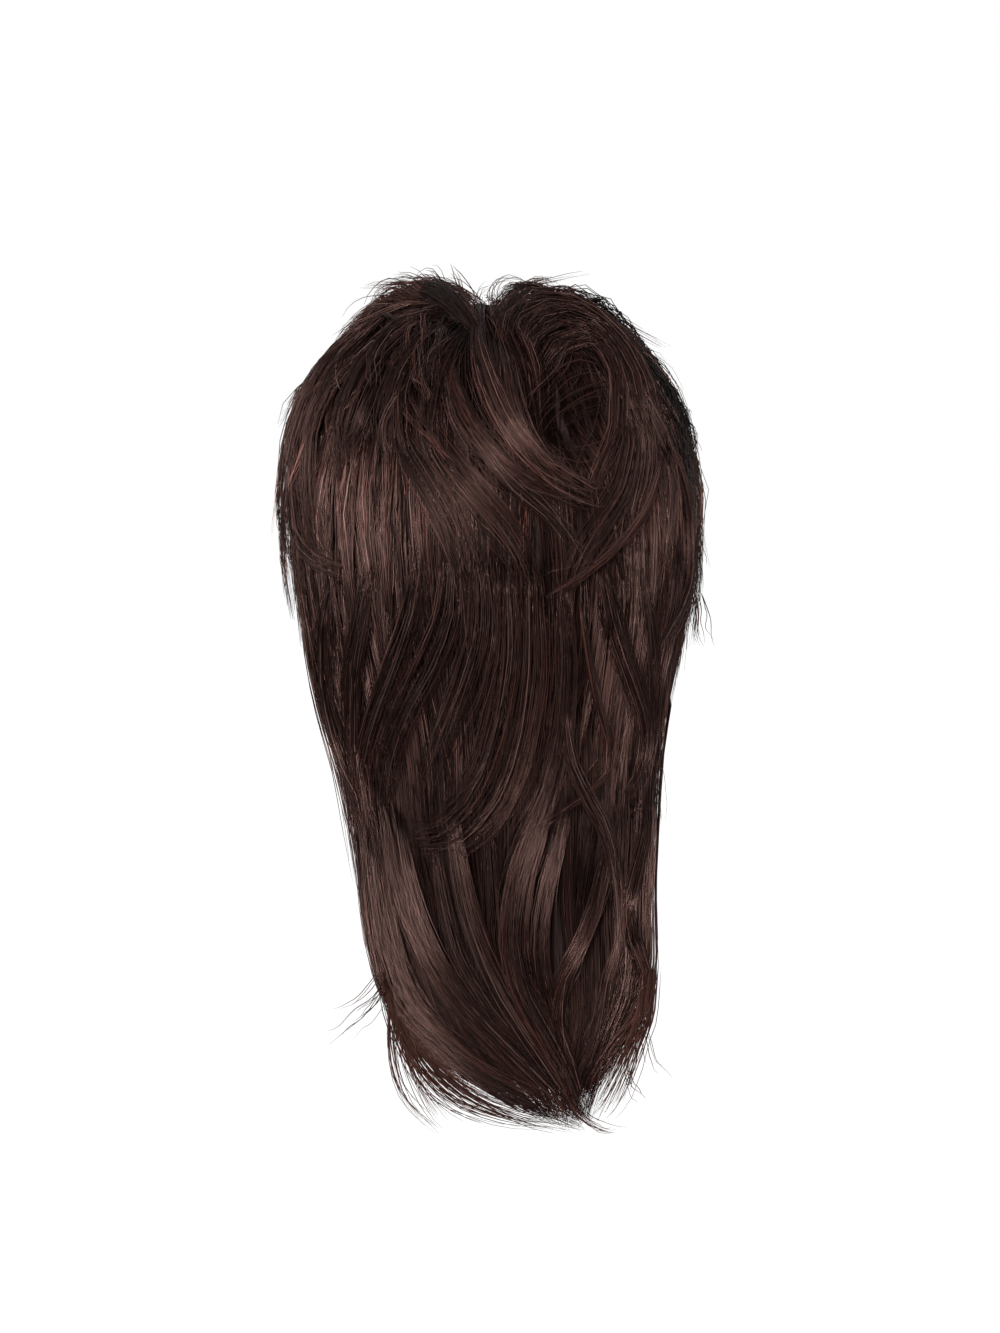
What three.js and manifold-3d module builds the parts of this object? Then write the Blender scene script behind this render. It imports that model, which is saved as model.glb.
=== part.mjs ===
// A mullet wig: a fitted cap, with hair in layers that are short over the ears and long at the back.
// Millimetres, +Z up. The face looks along -Y, so the wearer's left is +X. The origin is the point
// inside the top of the cap that rests on the crown of the head.
import * as THREE from "three";
import { mergeVertices } from "three/addons/utils/BufferGeometryUtils.js";
import Module from "manifold-3d";

// Driving dimensions
const HEAD_WIDTH = 154; // inside the cap, ear to ear
const HEAD_LENGTH = 194; // inside the cap, forehead to back
const HEAD_RISE = 96; // from the widest level up to the crown
const CAP_WALL = 1.6;
const SIDE_LOFT = 35; // how far the hair stands off the head at the sides
const BACK_LOFT = 31;
const FRONT_LOFT = 21;
const TOP_LOFT = 19;
const HANG = 320; // from the widest level down to the tip of the longest lock
const FIT_GAP = 1; // between the cap and the hair that is sewn to it
const LAYER_GAP = 2.4; // between one layer of hair and the next
const REST_GAP = 1; // between the hair and the loose locks that lie on it
const PARTING = 1.2; // between the tops of two layers that meet on the crown
const THIN_HAIR = 1.3; // a layer at its tips
const GROOVE = 0.5; // depth between two locks, as a share of the layer
const HEAD_SQUARENESS = 2.1; // 2 is an ellipsoid, and more is boxier
const HAIR_SQUARENESS = 2.3;

// Hanging hair, from the widest level (0) to the tip (1). hairWidth and shift are shares of half the
// hair's width, and centre and hairBack are shares of its depth behind the origin. The head columns
// are shares of the head's own width and depth.
const HANG_SECTIONS = [
  { at: 0, hairWidth: 1, shift: 0.01, centre: 0, hairBack: 1, headWidth: 1, headBack: 1 },
  { at: 0.1, hairWidth: 1, shift: -0.01, centre: 0.03, hairBack: 0.99, headWidth: 0.99, headBack: 0.94 },
  { at: 0.2, hairWidth: 0.97, shift: -0.02, centre: 0.11, hairBack: 0.96, headWidth: 0.94, headBack: 0.82 },
  { at: 0.3, hairWidth: 0.91, shift: -0.026, centre: 0.17, hairBack: 0.91, headWidth: 0.88, headBack: 0.79 },
  { at: 0.43, hairWidth: 0.82, shift: -0.049, centre: 0.23, hairBack: 0.86, headWidth: 0.84, headBack: 0.8 },
  { at: 0.62, hairWidth: 0.77, shift: -0.075, centre: 0.33, hairBack: 0.82, headWidth: 0.78, headBack: 0.84 },
  { at: 0.75, hairWidth: 0.74, shift: -0.11, centre: 0.42, hairBack: 0.8, headWidth: 0.75, headBack: 0.85 },
  { at: 0.885, hairWidth: 0.64, shift: -0.14, centre: 0.52, hairBack: 0.77, headWidth: 0.62, headBack: 0.86 },
  { at: 0.95, hairWidth: 0.52, shift: -0.19, centre: 0.58, hairBack: 0.745, headWidth: 0.5, headBack: 0.86 },
  { at: 1, hairWidth: 0.26, shift: -0.34, centre: 0.62, hairBack: 0.7, headWidth: 0.22, headBack: 0.85 },
];

// The cap's lower edge by degrees from the back. 1 is the widest level, and more is below it.
const CAP_EDGE = [
  { at: 0, down: 1.2 },
  { at: 35, down: 1.19 },
  { at: 60, down: 1.1 },
  { at: 78, down: 1.02 },
  { at: 92, down: 1.05 },
  { at: 104, down: 1.1 },
  { at: 116, down: 1.0 },
  { at: 132, down: 0.86 },
  { at: 152, down: 0.75 },
  { at: 180, down: 0.71 },
];

// The surfaces between layers, as a share of the way from the cap out to the surface of the hair.
const SEAMS = {
  cap: [
    { at: 0, lift: 0 },
    { at: 2, lift: 0 },
  ],
  ear: [
    { at: 0.8, lift: 0 },
    { at: 1.05, lift: 0.2 },
    { at: 1.3, lift: 0.4 },
  ],
  nape: [
    { at: 0.84, lift: 0 },
    { at: 1.06, lift: 0.3 },
    { at: 1.25, lift: 0.5 },
    { at: 1.42, lift: 0.85 },
    { at: 1.56, lift: 0.97 },
    { at: 1.7, lift: 1 },
    { at: 2, lift: 1 },
  ],
  back: [
    { at: 0.54, lift: 0 },
    { at: 0.78, lift: 0.35 },
    { at: 1.0, lift: 0.68 },
    { at: 1.14, lift: 0.88 },
    { at: 1.26, lift: 0.97 },
    { at: 1.4, lift: 1 },
    { at: 2, lift: 1 },
  ],
  crown: [
    { at: 0.24, lift: 0 },
    { at: 0.42, lift: 0.42 },
    { at: 0.7, lift: 0.7 },
    { at: 0.88, lift: 0.88 },
    { at: 1.0, lift: 0.96 },
    { at: 1.14, lift: 1 },
    { at: 2, lift: 1 },
  ],
  surface: [
    { at: 0, lift: 1 },
    { at: 2, lift: 1 },
  ],
};

// Each layer lies between two seams. roots and tips are the degrees from the back of its first and
// last locks. root is how far down it starts, reach is how far down its first and last locks end, and
// middle is how much further the locks between them reach. ragged is how much the tips differ, notch
// is how far up two locks part, and wave is in degrees.
const LAYERS = [
  {
    name: "nape_hair", under: "cap", over: "nape", locks: 11, rows: 11, seed: 3, wave: 3,
    roots: [-80, 80], tips: [-80, 80], root: 0.95, reach: [1.95, 1.97],
    middle: 0.05, ragged: 0.05, notch: 0.09,
  },
  {
    name: "back_hair", under: "nape", over: "back", locks: 11, rows: 8, seed: 5, wave: 2.5,
    roots: [-79, 79], tips: [-77, 80], root: 0.64, reach: [1.56, 1.46],
    middle: 0.02, ragged: 0.12, notch: 0.14,
  },
  {
    name: "crown_hair", under: "back", over: "crown", locks: 10, rows: 7, seed: 7, wave: 1,
    roots: [-78, 78], tips: [-80, 78], root: 0.31, reach: [1.26, 1.2],
    middle: 0, ragged: 0.1, notch: 0.11,
  },
  {
    name: "side_hair_left", under: "ear", over: "crown", locks: 4, rows: 5, seed: 11, wave: 0,
    roots: [82, 137], tips: [82, 137], root: 0.31, reach: [1.15, 1.04],
    middle: 0, ragged: 0.04, notch: 0.09,
  },
  {
    name: "side_hair_right", under: "ear", over: "crown", locks: 4, rows: 5, seed: 13, wave: 0,
    roots: [-137, -81], tips: [-137, -83], root: 0.31, reach: [1.06, 1.21],
    middle: 0, ragged: 0.04, notch: 0.09,
  },
  {
    name: "fringe", under: "ear", over: "crown", locks: 6, rows: 5, seed: 17, wave: 0,
    roots: [141, 219], tips: [140, 220], root: 0.31, reach: [1.05, 1.05],
    middle: -0.14, ragged: 0.05, notch: 0.1,
  },
  {
    name: "top_hair_left", under: "crown", over: "surface", locks: 8, rows: 6, seed: 19, wave: 0,
    roots: [0, 125], tips: [-16, 118], root: 0.01, reach: [1.0, 0.84],
    middle: 0.06, ragged: 0.12, notch: 0.12,
  },
  {
    name: "top_hair_right", under: "crown", over: "surface", locks: 5, rows: 7, seed: 23, wave: 0,
    roots: [-66, 0], tips: [-80, -16], root: 0.01, reach: [1.0, 0.98],
    middle: 0.05, ragged: 0.08, notch: 0.12,
  },
  {
    name: "teased_hair", under: "crown", over: "surface", locks: 5, rows: 5, seed: 29, wave: 0,
    roots: [-125, -66], tips: [-118, -80], root: 0.01, reach: [0.84, 0.97],
    middle: 0.02, ragged: 0.1, notch: 0.1,
  },
  {
    name: "front_hair", under: "crown", over: "surface", locks: 7, rows: 5, seed: 31, wave: 0,
    roots: [125, 235], tips: [118, 242], root: 0.01, reach: [0.84, 0.84],
    middle: -0.1, ragged: 0.06, notch: 0.1,
  },
];

// Loose locks, each along a path from its root to its tip. lift is 1 on the surface of the hair.
// A lock belongs to the layer that it grows from, and swept_hair is made of loose locks only.
const LOOSE_LOCKS = [
  {
    name: "swept_hair", wide: 22, thick: 7,
    path: [
      { at: 0, turn: 6, down: 0.42, lift: 1 },
      { at: 0.4, turn: -1, down: 0.7, lift: 1.02 },
      { at: 0.75, turn: -14, down: 0.9, lift: 1.03 },
      { at: 1, turn: -31, down: 1.0, lift: 1 },
    ],
  },
  {
    name: "swept_hair", wide: 19, thick: 5,
    path: [
      { at: 0, turn: 0, down: 0.4, lift: 1 },
      { at: 0.4, turn: -6, down: 0.65, lift: 1 },
      { at: 0.75, turn: -18, down: 0.84, lift: 1 },
      { at: 1, turn: -36, down: 0.93, lift: 1 },
    ],
  },
  {
    name: "swept_hair", wide: 19, thick: 5,
    path: [
      { at: 0, turn: 16, down: 0.44, lift: 1 },
      { at: 0.4, turn: 6, down: 0.74, lift: 1 },
      { at: 0.75, turn: -6, down: 0.95, lift: 1 },
      { at: 1, turn: -19, down: 1.08, lift: 1 },
    ],
  },
  {
    name: "top_hair_left", wide: 14, thick: 5,
    path: [
      { at: 0, turn: 60, down: 0.12, lift: 0.55 },
      { at: 0.5, turn: 72, down: 0.2, lift: 1.15 },
      { at: 1, turn: 80, down: 0.27, lift: 1.5 },
    ],
  },
  {
    name: "top_hair_left", wide: 14, thick: 5,
    path: [
      { at: 0, turn: 40, down: 0.1, lift: 0.55 },
      { at: 0.5, turn: 50, down: 0.17, lift: 1.25 },
      { at: 1, turn: 60, down: 0.24, lift: 1.65 },
    ],
  },
  {
    name: "top_hair_left", wide: 13, thick: 5,
    path: [
      { at: 0, turn: 75, down: 0.06, lift: 0.55 },
      { at: 0.5, turn: 62, down: 0.14, lift: 1.3 },
      { at: 1, turn: 48, down: 0.2, lift: 1.75 },
    ],
  },
  {
    name: "top_hair_right", wide: 13, thick: 5,
    path: [
      { at: 0, turn: -30, down: 0.1, lift: 0.55 },
      { at: 0.5, turn: -40, down: 0.17, lift: 1.2 },
      { at: 1, turn: -56, down: 0.25, lift: 1.4 },
    ],
  },
  {
    name: "top_hair_right", wide: 13, thick: 5,
    path: [
      { at: 0, turn: -55, down: 0.07, lift: 0.55 },
      { at: 0.5, turn: -40, down: 0.15, lift: 1.15 },
      { at: 1, turn: -22, down: 0.23, lift: 1.35 },
    ],
  },
];

const DEG = Math.PI / 180;
const COLUMNS_PER_LOCK = 4;
const ROW_EASE = 1.15; // rows are closer together at the roots
const UNEVEN = 0.5; // how far the widths of the locks in a layer differ
const CAP_COLUMNS = 34;
const CAP_ROWS = 9;
const LOCK_ROWS = 8;
const LOCK_SIDES = 6;
const LOCK_ROOT = 0.35; // size of a loose lock at its root and at its tip, as shares of its widest part
const LOCK_TIP = 0.08;
const SWELL = 1 / 3; // how far along a lock, or a groove between two locks, is fully grown
const TIP_CURVE = 2.5; // more keeps a loose lock wide for longer
const TIP_POINT = 1.5; // less makes the locks of a layer more pointed
const RIDGE_ROUND = 0.7; // less makes the locks of a layer rounder
const TIP_LOSS = 0.75; // how much thinner a layer is at its tips
const WAVES = 1.3; // along a lock
const WAVE_SHIFT = 0.7; // of a wave, from the first lock of a layer to the last
const NUDGE = 0.01; // along a lock, to find its direction
const WELD = 1e-4; // points closer than this are one
const wasm = await Module();
wasm.setup();

// Numbers and tables

function mix(a, b, t) {
  return a + (b - a) * t;
}

function clamp(x, low, high) {
  return Math.min(high, Math.max(low, x));
}

// A repeatable number from 0 to 1 for a layer and a lock.
function chance(seed, n) {
  const x = Math.sin(seed * 127.1 + n * 311.7) * 43758.5453;
  return x - Math.floor(x);
}

// Reads a column of a table on a smooth curve that never overshoots its rows.
function read(table, key, at) {
  const x = clamp(at, table[0].at, table[table.length - 1].at);
  let i = 0;
  while (i < table.length - 2 && x > table[i + 1].at) i++;
  const chord = (j) => (table[j + 1][key] - table[j][key]) / (table[j + 1].at - table[j].at);
  const slope = (j) => {
    if (j === 0) return chord(0);
    if (j === table.length - 1) return chord(j - 1);
    const a = chord(j - 1);
    const b = chord(j);
    return a * b > 0 ? (2 * a * b) / (a + b) : 0;
  };
  const from = table[i];
  const to = table[i + 1];
  const step = to.at - from.at;
  const t = (x - from.at) / step;
  const t2 = t * t;
  const t3 = t2 * t;
  return (
    from[key] * (2 * t3 - 3 * t2 + 1) +
    slope(i) * step * (t3 - 2 * t2 + t) +
    to[key] * (3 * t2 - 2 * t3) +
    slope(i + 1) * step * (t3 - t2)
  );
}

// Surfaces

const HEAD = {
  half: HEAD_WIDTH / 2,
  back: HEAD_LENGTH / 2,
  front: HEAD_LENGTH / 2,
  rise: HEAD_RISE,
  power: HEAD_SQUARENESS,
  widths: "headWidth",
  backs: "headBack",
};
const HAIR = {
  half: HEAD_WIDTH / 2 + SIDE_LOFT,
  back: HEAD_LENGTH / 2 + BACK_LOFT,
  front: HEAD_LENGTH / 2 + FRONT_LOFT,
  rise: HEAD_RISE + TOP_LOFT,
  power: HAIR_SQUARENESS,
  widths: "hairWidth",
  backs: "hairBack",
};

// A point of a body's surface. turn is in degrees from the back, positive to the wearer's left.
// down is 0 at the crown, 1 at the widest level and 2 at the tip.
function surface(body, turn, down, out = 0) {
  const across = Math.sin(turn * DEG);
  const along = Math.cos(turn * DEG);
  const depth = along > 0 ? body.back : body.front;
  if (down <= 1) {
    const angle = (Math.max(down, 0) * Math.PI) / 2;
    const spread = Math.sin(angle) ** (2 / body.power);
    const height = Math.abs(Math.cos(angle)) ** (2 / body.power);
    return new THREE.Vector3(
      (body.half + out) * spread * across,
      (depth + out) * spread * along,
      (body.rise + out) * height - HEAD_RISE,
    );
  }
  const at = down - 1;
  const centre = read(HANG_SECTIONS, "centre", at) * body.back;
  const behind = read(HANG_SECTIONS, body.backs, at) * body.back - centre;
  const reach = along > 0 ? behind : body.front + centre;
  const width = read(HANG_SECTIONS, body.widths, at) * body.half;
  return new THREE.Vector3(
    read(HANG_SECTIONS, "shift", at) * HAIR.half + (width + out) * across,
    centre + (reach + out) * along,
    -HEAD_RISE - HANG * at,
  );
}

// The straight way from the outside of the cap out to the surface of the hair.
function wayOut(turn, down) {
  const start = surface(HEAD, turn, down, CAP_WALL);
  const way = surface(HAIR, turn, down).sub(start);
  const length = way.length();
  return { start, length, way: way.divideScalar(length) };
}

// Solids

// A closed solid from points and faces, turned outside out when the faces wind inwards.
function solidFrom(points, faces) {
  const geometry = new THREE.BufferGeometry();
  const coordinates = points.flatMap((p) => [p.x, p.y, p.z]);
  geometry.setAttribute("position", new THREE.Float32BufferAttribute(coordinates, 3));
  const build = (winding) => {
    geometry.setIndex(winding.flat());
    const merged = mergeVertices(geometry, WELD);
    return new wasm.Manifold(
      new wasm.Mesh({
        numProp: 3,
        vertProperties: merged.attributes.position.array,
        triVerts: new Uint32Array(merged.index.array),
      }),
    );
  };
  const solid = build(faces);
  return solid.volume() > 0 ? solid : build(faces.map(([a, b, c]) => [a, c, b]));
}

function geometryFrom(solid) {
  const mesh = solid.getMesh();
  const geometry = new THREE.BufferGeometry();
  geometry.setAttribute("position", new THREE.BufferAttribute(new Float32Array(mesh.vertProperties), 3));
  geometry.setIndex(new THREE.BufferAttribute(new Uint32Array(mesh.triVerts), 1));
  geometry.computeVertexNormals();
  return geometry;
}

// A closed wall between two grids of points, each a function of row and column.
function wall(rows, columns, innerPoint, outerPoint) {
  const points = [];
  const faces = [];
  const width = columns + 1;
  const count = (rows + 1) * width;
  for (const side of [innerPoint, outerPoint]) {
    for (let r = 0; r <= rows; r++) {
      for (let c = 0; c <= columns; c++) points.push(side(r, c));
    }
  }
  const quad = (a, b, c, d) => faces.push([a, b, c], [a, c, d]);
  for (let r = 0; r < rows; r++) {
    for (let c = 0; c < columns; c++) {
      const i = r * width + c;
      quad(i, i + width, i + width + 1, i + 1);
      quad(count + i, count + i + 1, count + i + width + 1, count + i + width);
    }
  }
  for (let c = 0; c < columns; c++) {
    const last = rows * width + c;
    quad(c, c + 1, count + c + 1, count + c);
    quad(last + 1, last, count + last, count + last + 1);
  }
  for (let r = 0; r < rows; r++) {
    const left = r * width;
    const right = left + columns;
    quad(left + width, left, count + left, count + left + width);
    quad(right, right + width, count + right + width, count + right);
  }
  return solidFrom(points, faces);
}

// The cap: a dome of one thickness, open below at its shaped edge.
function capShell(columns, rows) {
  const points = [surface(HEAD, 0, 0), surface(HEAD, 0, 0, CAP_WALL)];
  const faces = [];
  const at = (side, r, c) => 2 + (side * rows + (r - 1)) * columns + (c % columns);
  for (const out of [0, CAP_WALL]) {
    for (let r = 1; r <= rows; r++) {
      for (let c = 0; c < columns; c++) {
        const turn = (c / columns) * 360 - 180;
        points.push(surface(HEAD, turn, (read(CAP_EDGE, "down", Math.abs(turn)) * r) / rows, out));
      }
    }
  }
  for (let c = 0; c < columns; c++) {
    faces.push([0, at(0, 1, c), at(0, 1, c + 1)], [1, at(1, 1, c + 1), at(1, 1, c)]);
    for (let r = 1; r < rows; r++) {
      const inner = [at(0, r, c), at(0, r + 1, c), at(0, r + 1, c + 1), at(0, r, c + 1)];
      const outer = [at(1, r, c), at(1, r, c + 1), at(1, r + 1, c + 1), at(1, r + 1, c)];
      for (const [p, q, s, t] of [inner, outer]) faces.push([p, q, s], [p, s, t]);
    }
    const rim = [at(0, rows, c), at(1, rows, c), at(1, rows, c + 1), at(0, rows, c + 1)];
    faces.push([rim[0], rim[1], rim[2]], [rim[0], rim[2], rim[3]]);
  }
  return solidFrom(points, faces);
}

// A loose lock: a flat oval section that follows its path over the hair and narrows to a tip.
function looseLock(lock) {
  const points = [];
  const faces = [];
  const at = (t) => {
    const turn = read(lock.path, "turn", t);
    const down = read(lock.path, "down", t);
    const { start, way, length } = wayOut(turn, down);
    const out = read(lock.path, "lift", t) * length + REST_GAP + lock.thick / 2;
    return { centre: start.addScaledVector(way, out), way };
  };
  for (let r = 0; r <= LOCK_ROWS; r++) {
    const t = r / LOCK_ROWS;
    const { centre, way } = at(t);
    const along = at(t + NUDGE).centre.sub(at(t - NUDGE).centre);
    const across = along.clone().cross(way).normalize();
    const grown = Math.sin((clamp(t / SWELL, 0, 1) * Math.PI) / 2);
    const narrow = mix(LOCK_ROOT, 1, grown) * (1 - (1 - LOCK_TIP) * t ** TIP_CURVE);
    for (let k = 0; k < LOCK_SIDES; k++) {
      const angle = (k / LOCK_SIDES) * 2 * Math.PI;
      const point = centre.clone().addScaledVector(across, (Math.cos(angle) * narrow * lock.wide) / 2);
      points.push(point.addScaledVector(way, (Math.sin(angle) * narrow * lock.thick) / 2));
    }
  }
  for (let r = 0; r < LOCK_ROWS; r++) {
    for (let k = 0; k < LOCK_SIDES; k++) {
      const a = r * LOCK_SIDES + k;
      const b = r * LOCK_SIDES + ((k + 1) % LOCK_SIDES);
      faces.push([a, b, b + LOCK_SIDES], [a, b + LOCK_SIDES, a + LOCK_SIDES]);
    }
  }
  const last = LOCK_ROWS * LOCK_SIDES;
  for (let k = 1; k < LOCK_SIDES - 1; k++) faces.push([0, k + 1, k], [last, last + k, last + k + 1]);
  return solidFrom(points, faces);
}

// One layer of hair: locks side by side on a backing, each a ridge that narrows to its own tip.
function hairLayer(layer) {
  const columns = layer.locks * COLUMNS_PER_LOCK;
  const edge = (lock) => {
    const uneven = lock % layer.locks ? UNEVEN * (chance(layer.seed, lock + 0.5) - 0.5) : 0;
    return (lock + uneven) / layer.locks;
  };
  const lockEnd = (lock) => {
    const share = clamp((lock + 0.5) / layer.locks, 0, 1);
    const middle = layer.middle * Math.sin(share * Math.PI);
    const ragged = layer.ragged * (chance(layer.seed, lock) - 0.5);
    return mix(layer.reach[0], layer.reach[1], share) + middle + ragged;
  };
  const ridge = (c) => Math.sin(((c % COLUMNS_PER_LOCK) / COLUMNS_PER_LOCK) * Math.PI);
  const endAt = (c) => {
    const lock = Math.floor(c / COLUMNS_PER_LOCK);
    const between = layer.notch * (1 - ridge(c) ** TIP_POINT);
    if (ridge(c) > 0) return lockEnd(clamp(lock, 0, layer.locks - 1)) - between;
    const before = lockEnd(clamp(lock - 1, 0, layer.locks - 1));
    const after = lockEnd(clamp(lock, 0, layer.locks - 1));
    return Math.min(before, after) - layer.notch;
  };
  const place = (r, c) => {
    const t = r / layer.rows;
    const lock = Math.floor(c / COLUMNS_PER_LOCK);
    const across = (c % COLUMNS_PER_LOCK) / COLUMNS_PER_LOCK;
    const share = mix(edge(lock), edge(Math.min(lock + 1, layer.locks)), across);
    const swing = Math.sin((t * WAVES + share * WAVE_SHIFT) * 2 * Math.PI) * t;
    const wave = layer.wave * swing * Math.sqrt(Math.sin(share * Math.PI));
    const turn = mix(mix(...layer.roots, share), mix(...layer.tips, share), t) + wave;
    return { t, turn, down: mix(layer.root, endAt(c), t ** ROW_EASE) };
  };
  const innerDepth = (down, length) => {
    const gap = layer.under === "cap" ? FIT_GAP : Math.max(FIT_GAP, LAYER_GAP / 2);
    return read(SEAMS[layer.under], "lift", down) * length + gap;
  };
  const inner = (r, c) => {
    const { turn, down } = place(r, c);
    const { start, way, length } = wayOut(turn, down);
    return start.addScaledVector(way, innerDepth(down, length));
  };
  const outer = (r, c) => {
    const { t, turn, down } = place(r, c);
    const { start, way, length } = wayOut(turn, down);
    const low = innerDepth(down, length);
    const high = read(SEAMS[layer.over], "lift", down) * length - LAYER_GAP / 2;
    const groove = GROOVE * (1 - ridge(c) ** RIDGE_ROUND) * clamp(t / SWELL, 0, 1);
    const taper = 1 - TIP_LOSS * t ** 3;
    return start.addScaledVector(way, low + Math.max(THIN_HAIR, (high - low) * (1 - groove) * taper));
  };
  return wall(layer.rows, columns, inner, outer);
}

// Pieces

const brown = { color: 0x3a2722, roughness: 0.5, metalness: 0 };
const black = { color: 0x16110f, roughness: 0.7, metalness: 0 };
const group = new THREE.Group();

function addPiece(name, solid, finish) {
  const mesh = new THREE.Mesh(geometryFrom(solid), new THREE.MeshStandardMaterial(finish));
  mesh.name = name;
  group.add(mesh);
}

addPiece("cap", capShell(CAP_COLUMNS, CAP_ROWS), black);
for (const layer of LAYERS) {
  const onCrown = layer.over === "surface";
  const middle = ((layer.roots[0] + layer.roots[1]) / 2) * DEG;
  const half = ((layer.roots[1] - layer.roots[0]) / 2) * DEG;
  const apart = onCrown ? PARTING / 2 / Math.sin(half) : 0;
  const backed = hairLayer(layer).translate([Math.sin(middle) * apart, Math.cos(middle) * apart, 0]);
  const loose = LOOSE_LOCKS.filter((lock) => lock.name === layer.name).map(looseLock);
  const finish = layer.name === "teased_hair" ? black : brown;
  addPiece(layer.name, wasm.Manifold.union([backed, ...loose]), finish);
}
const swept = LOOSE_LOCKS.filter((lock) => lock.name === "swept_hair").map(looseLock);
addPiece("swept_hair", wasm.Manifold.union(swept), brown);

export default group;
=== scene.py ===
"""The mullet wig's looks: strands of hair over a backing, on a net cap. Sizes are in millimetres."""
import math

import bpy
import numpy as np
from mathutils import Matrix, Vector


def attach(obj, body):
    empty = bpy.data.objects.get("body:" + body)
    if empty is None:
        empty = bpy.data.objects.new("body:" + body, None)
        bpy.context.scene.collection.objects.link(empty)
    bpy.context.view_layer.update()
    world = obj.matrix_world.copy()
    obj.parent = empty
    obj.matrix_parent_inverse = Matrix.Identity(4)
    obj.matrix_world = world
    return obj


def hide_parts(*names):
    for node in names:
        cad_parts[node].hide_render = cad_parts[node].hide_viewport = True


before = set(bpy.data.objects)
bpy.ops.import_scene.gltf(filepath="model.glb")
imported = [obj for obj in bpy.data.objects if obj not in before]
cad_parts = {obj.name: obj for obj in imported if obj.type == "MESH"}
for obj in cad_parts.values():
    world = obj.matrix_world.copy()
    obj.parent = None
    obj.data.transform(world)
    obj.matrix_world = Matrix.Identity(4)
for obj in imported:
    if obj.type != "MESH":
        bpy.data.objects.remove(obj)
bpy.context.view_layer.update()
rng = np.random.default_rng(7)

# The head, the cap and the hair's outer surface, as in the model
HEAD_RISE = 96.0
CAP_WALL = 1.6
HANG = 320.0
FIT_GAP = 1.0
LAYER_GAP = 1.0  # less than in the model, so that the strands of two layers meet
HEAD = dict(half=77.0, back=97.0, front=97.0, rise=96.0, power=2.1, widths="headWidth", backs="headBack")
HAIR = dict(half=112.0, back=128.0, front=118.0, rise=115.0, power=2.3, widths="hairWidth", backs="hairBack")

SECTION_COLUMNS = ("at", "hairWidth", "shift", "centre", "hairBack", "headWidth", "headBack")
SECTIONS = [
    (0, 1, 0.01, 0, 1, 1, 1),
    (0.1, 1, -0.01, 0.03, 0.99, 0.99, 0.94),
    (0.2, 0.97, -0.02, 0.11, 0.96, 0.94, 0.82),
    (0.3, 0.91, -0.026, 0.17, 0.91, 0.88, 0.79),
    (0.43, 0.82, -0.049, 0.23, 0.86, 0.84, 0.8),
    (0.62, 0.77, -0.075, 0.33, 0.82, 0.78, 0.84),
    (0.75, 0.74, -0.11, 0.42, 0.8, 0.75, 0.85),
    (0.885, 0.64, -0.14, 0.52, 0.77, 0.62, 0.86),
    (0.95, 0.52, -0.19, 0.58, 0.745, 0.5, 0.86),
    (1, 0.26, -0.34, 0.62, 0.7, 0.22, 0.85),
]
SEAMS = {
    "cap": [(0, 0), (2, 0)],
    "ear": [(0.8, 0), (1.05, 0.2), (1.3, 0.4)],
    "nape": [(0.84, 0), (1.06, 0.3), (1.25, 0.5), (1.42, 0.85), (1.56, 0.97), (1.7, 1), (2, 1)],
    "back": [(0.54, 0), (0.78, 0.35), (1.0, 0.68), (1.14, 0.88), (1.26, 0.97), (1.4, 1), (2, 1)],
    "crown": [(0.24, 0), (0.42, 0.42), (0.7, 0.7), (0.88, 0.88), (1.0, 0.96), (1.14, 1), (2, 1)],
    "surface": [(0, 1), (2, 1)],
}

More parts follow.
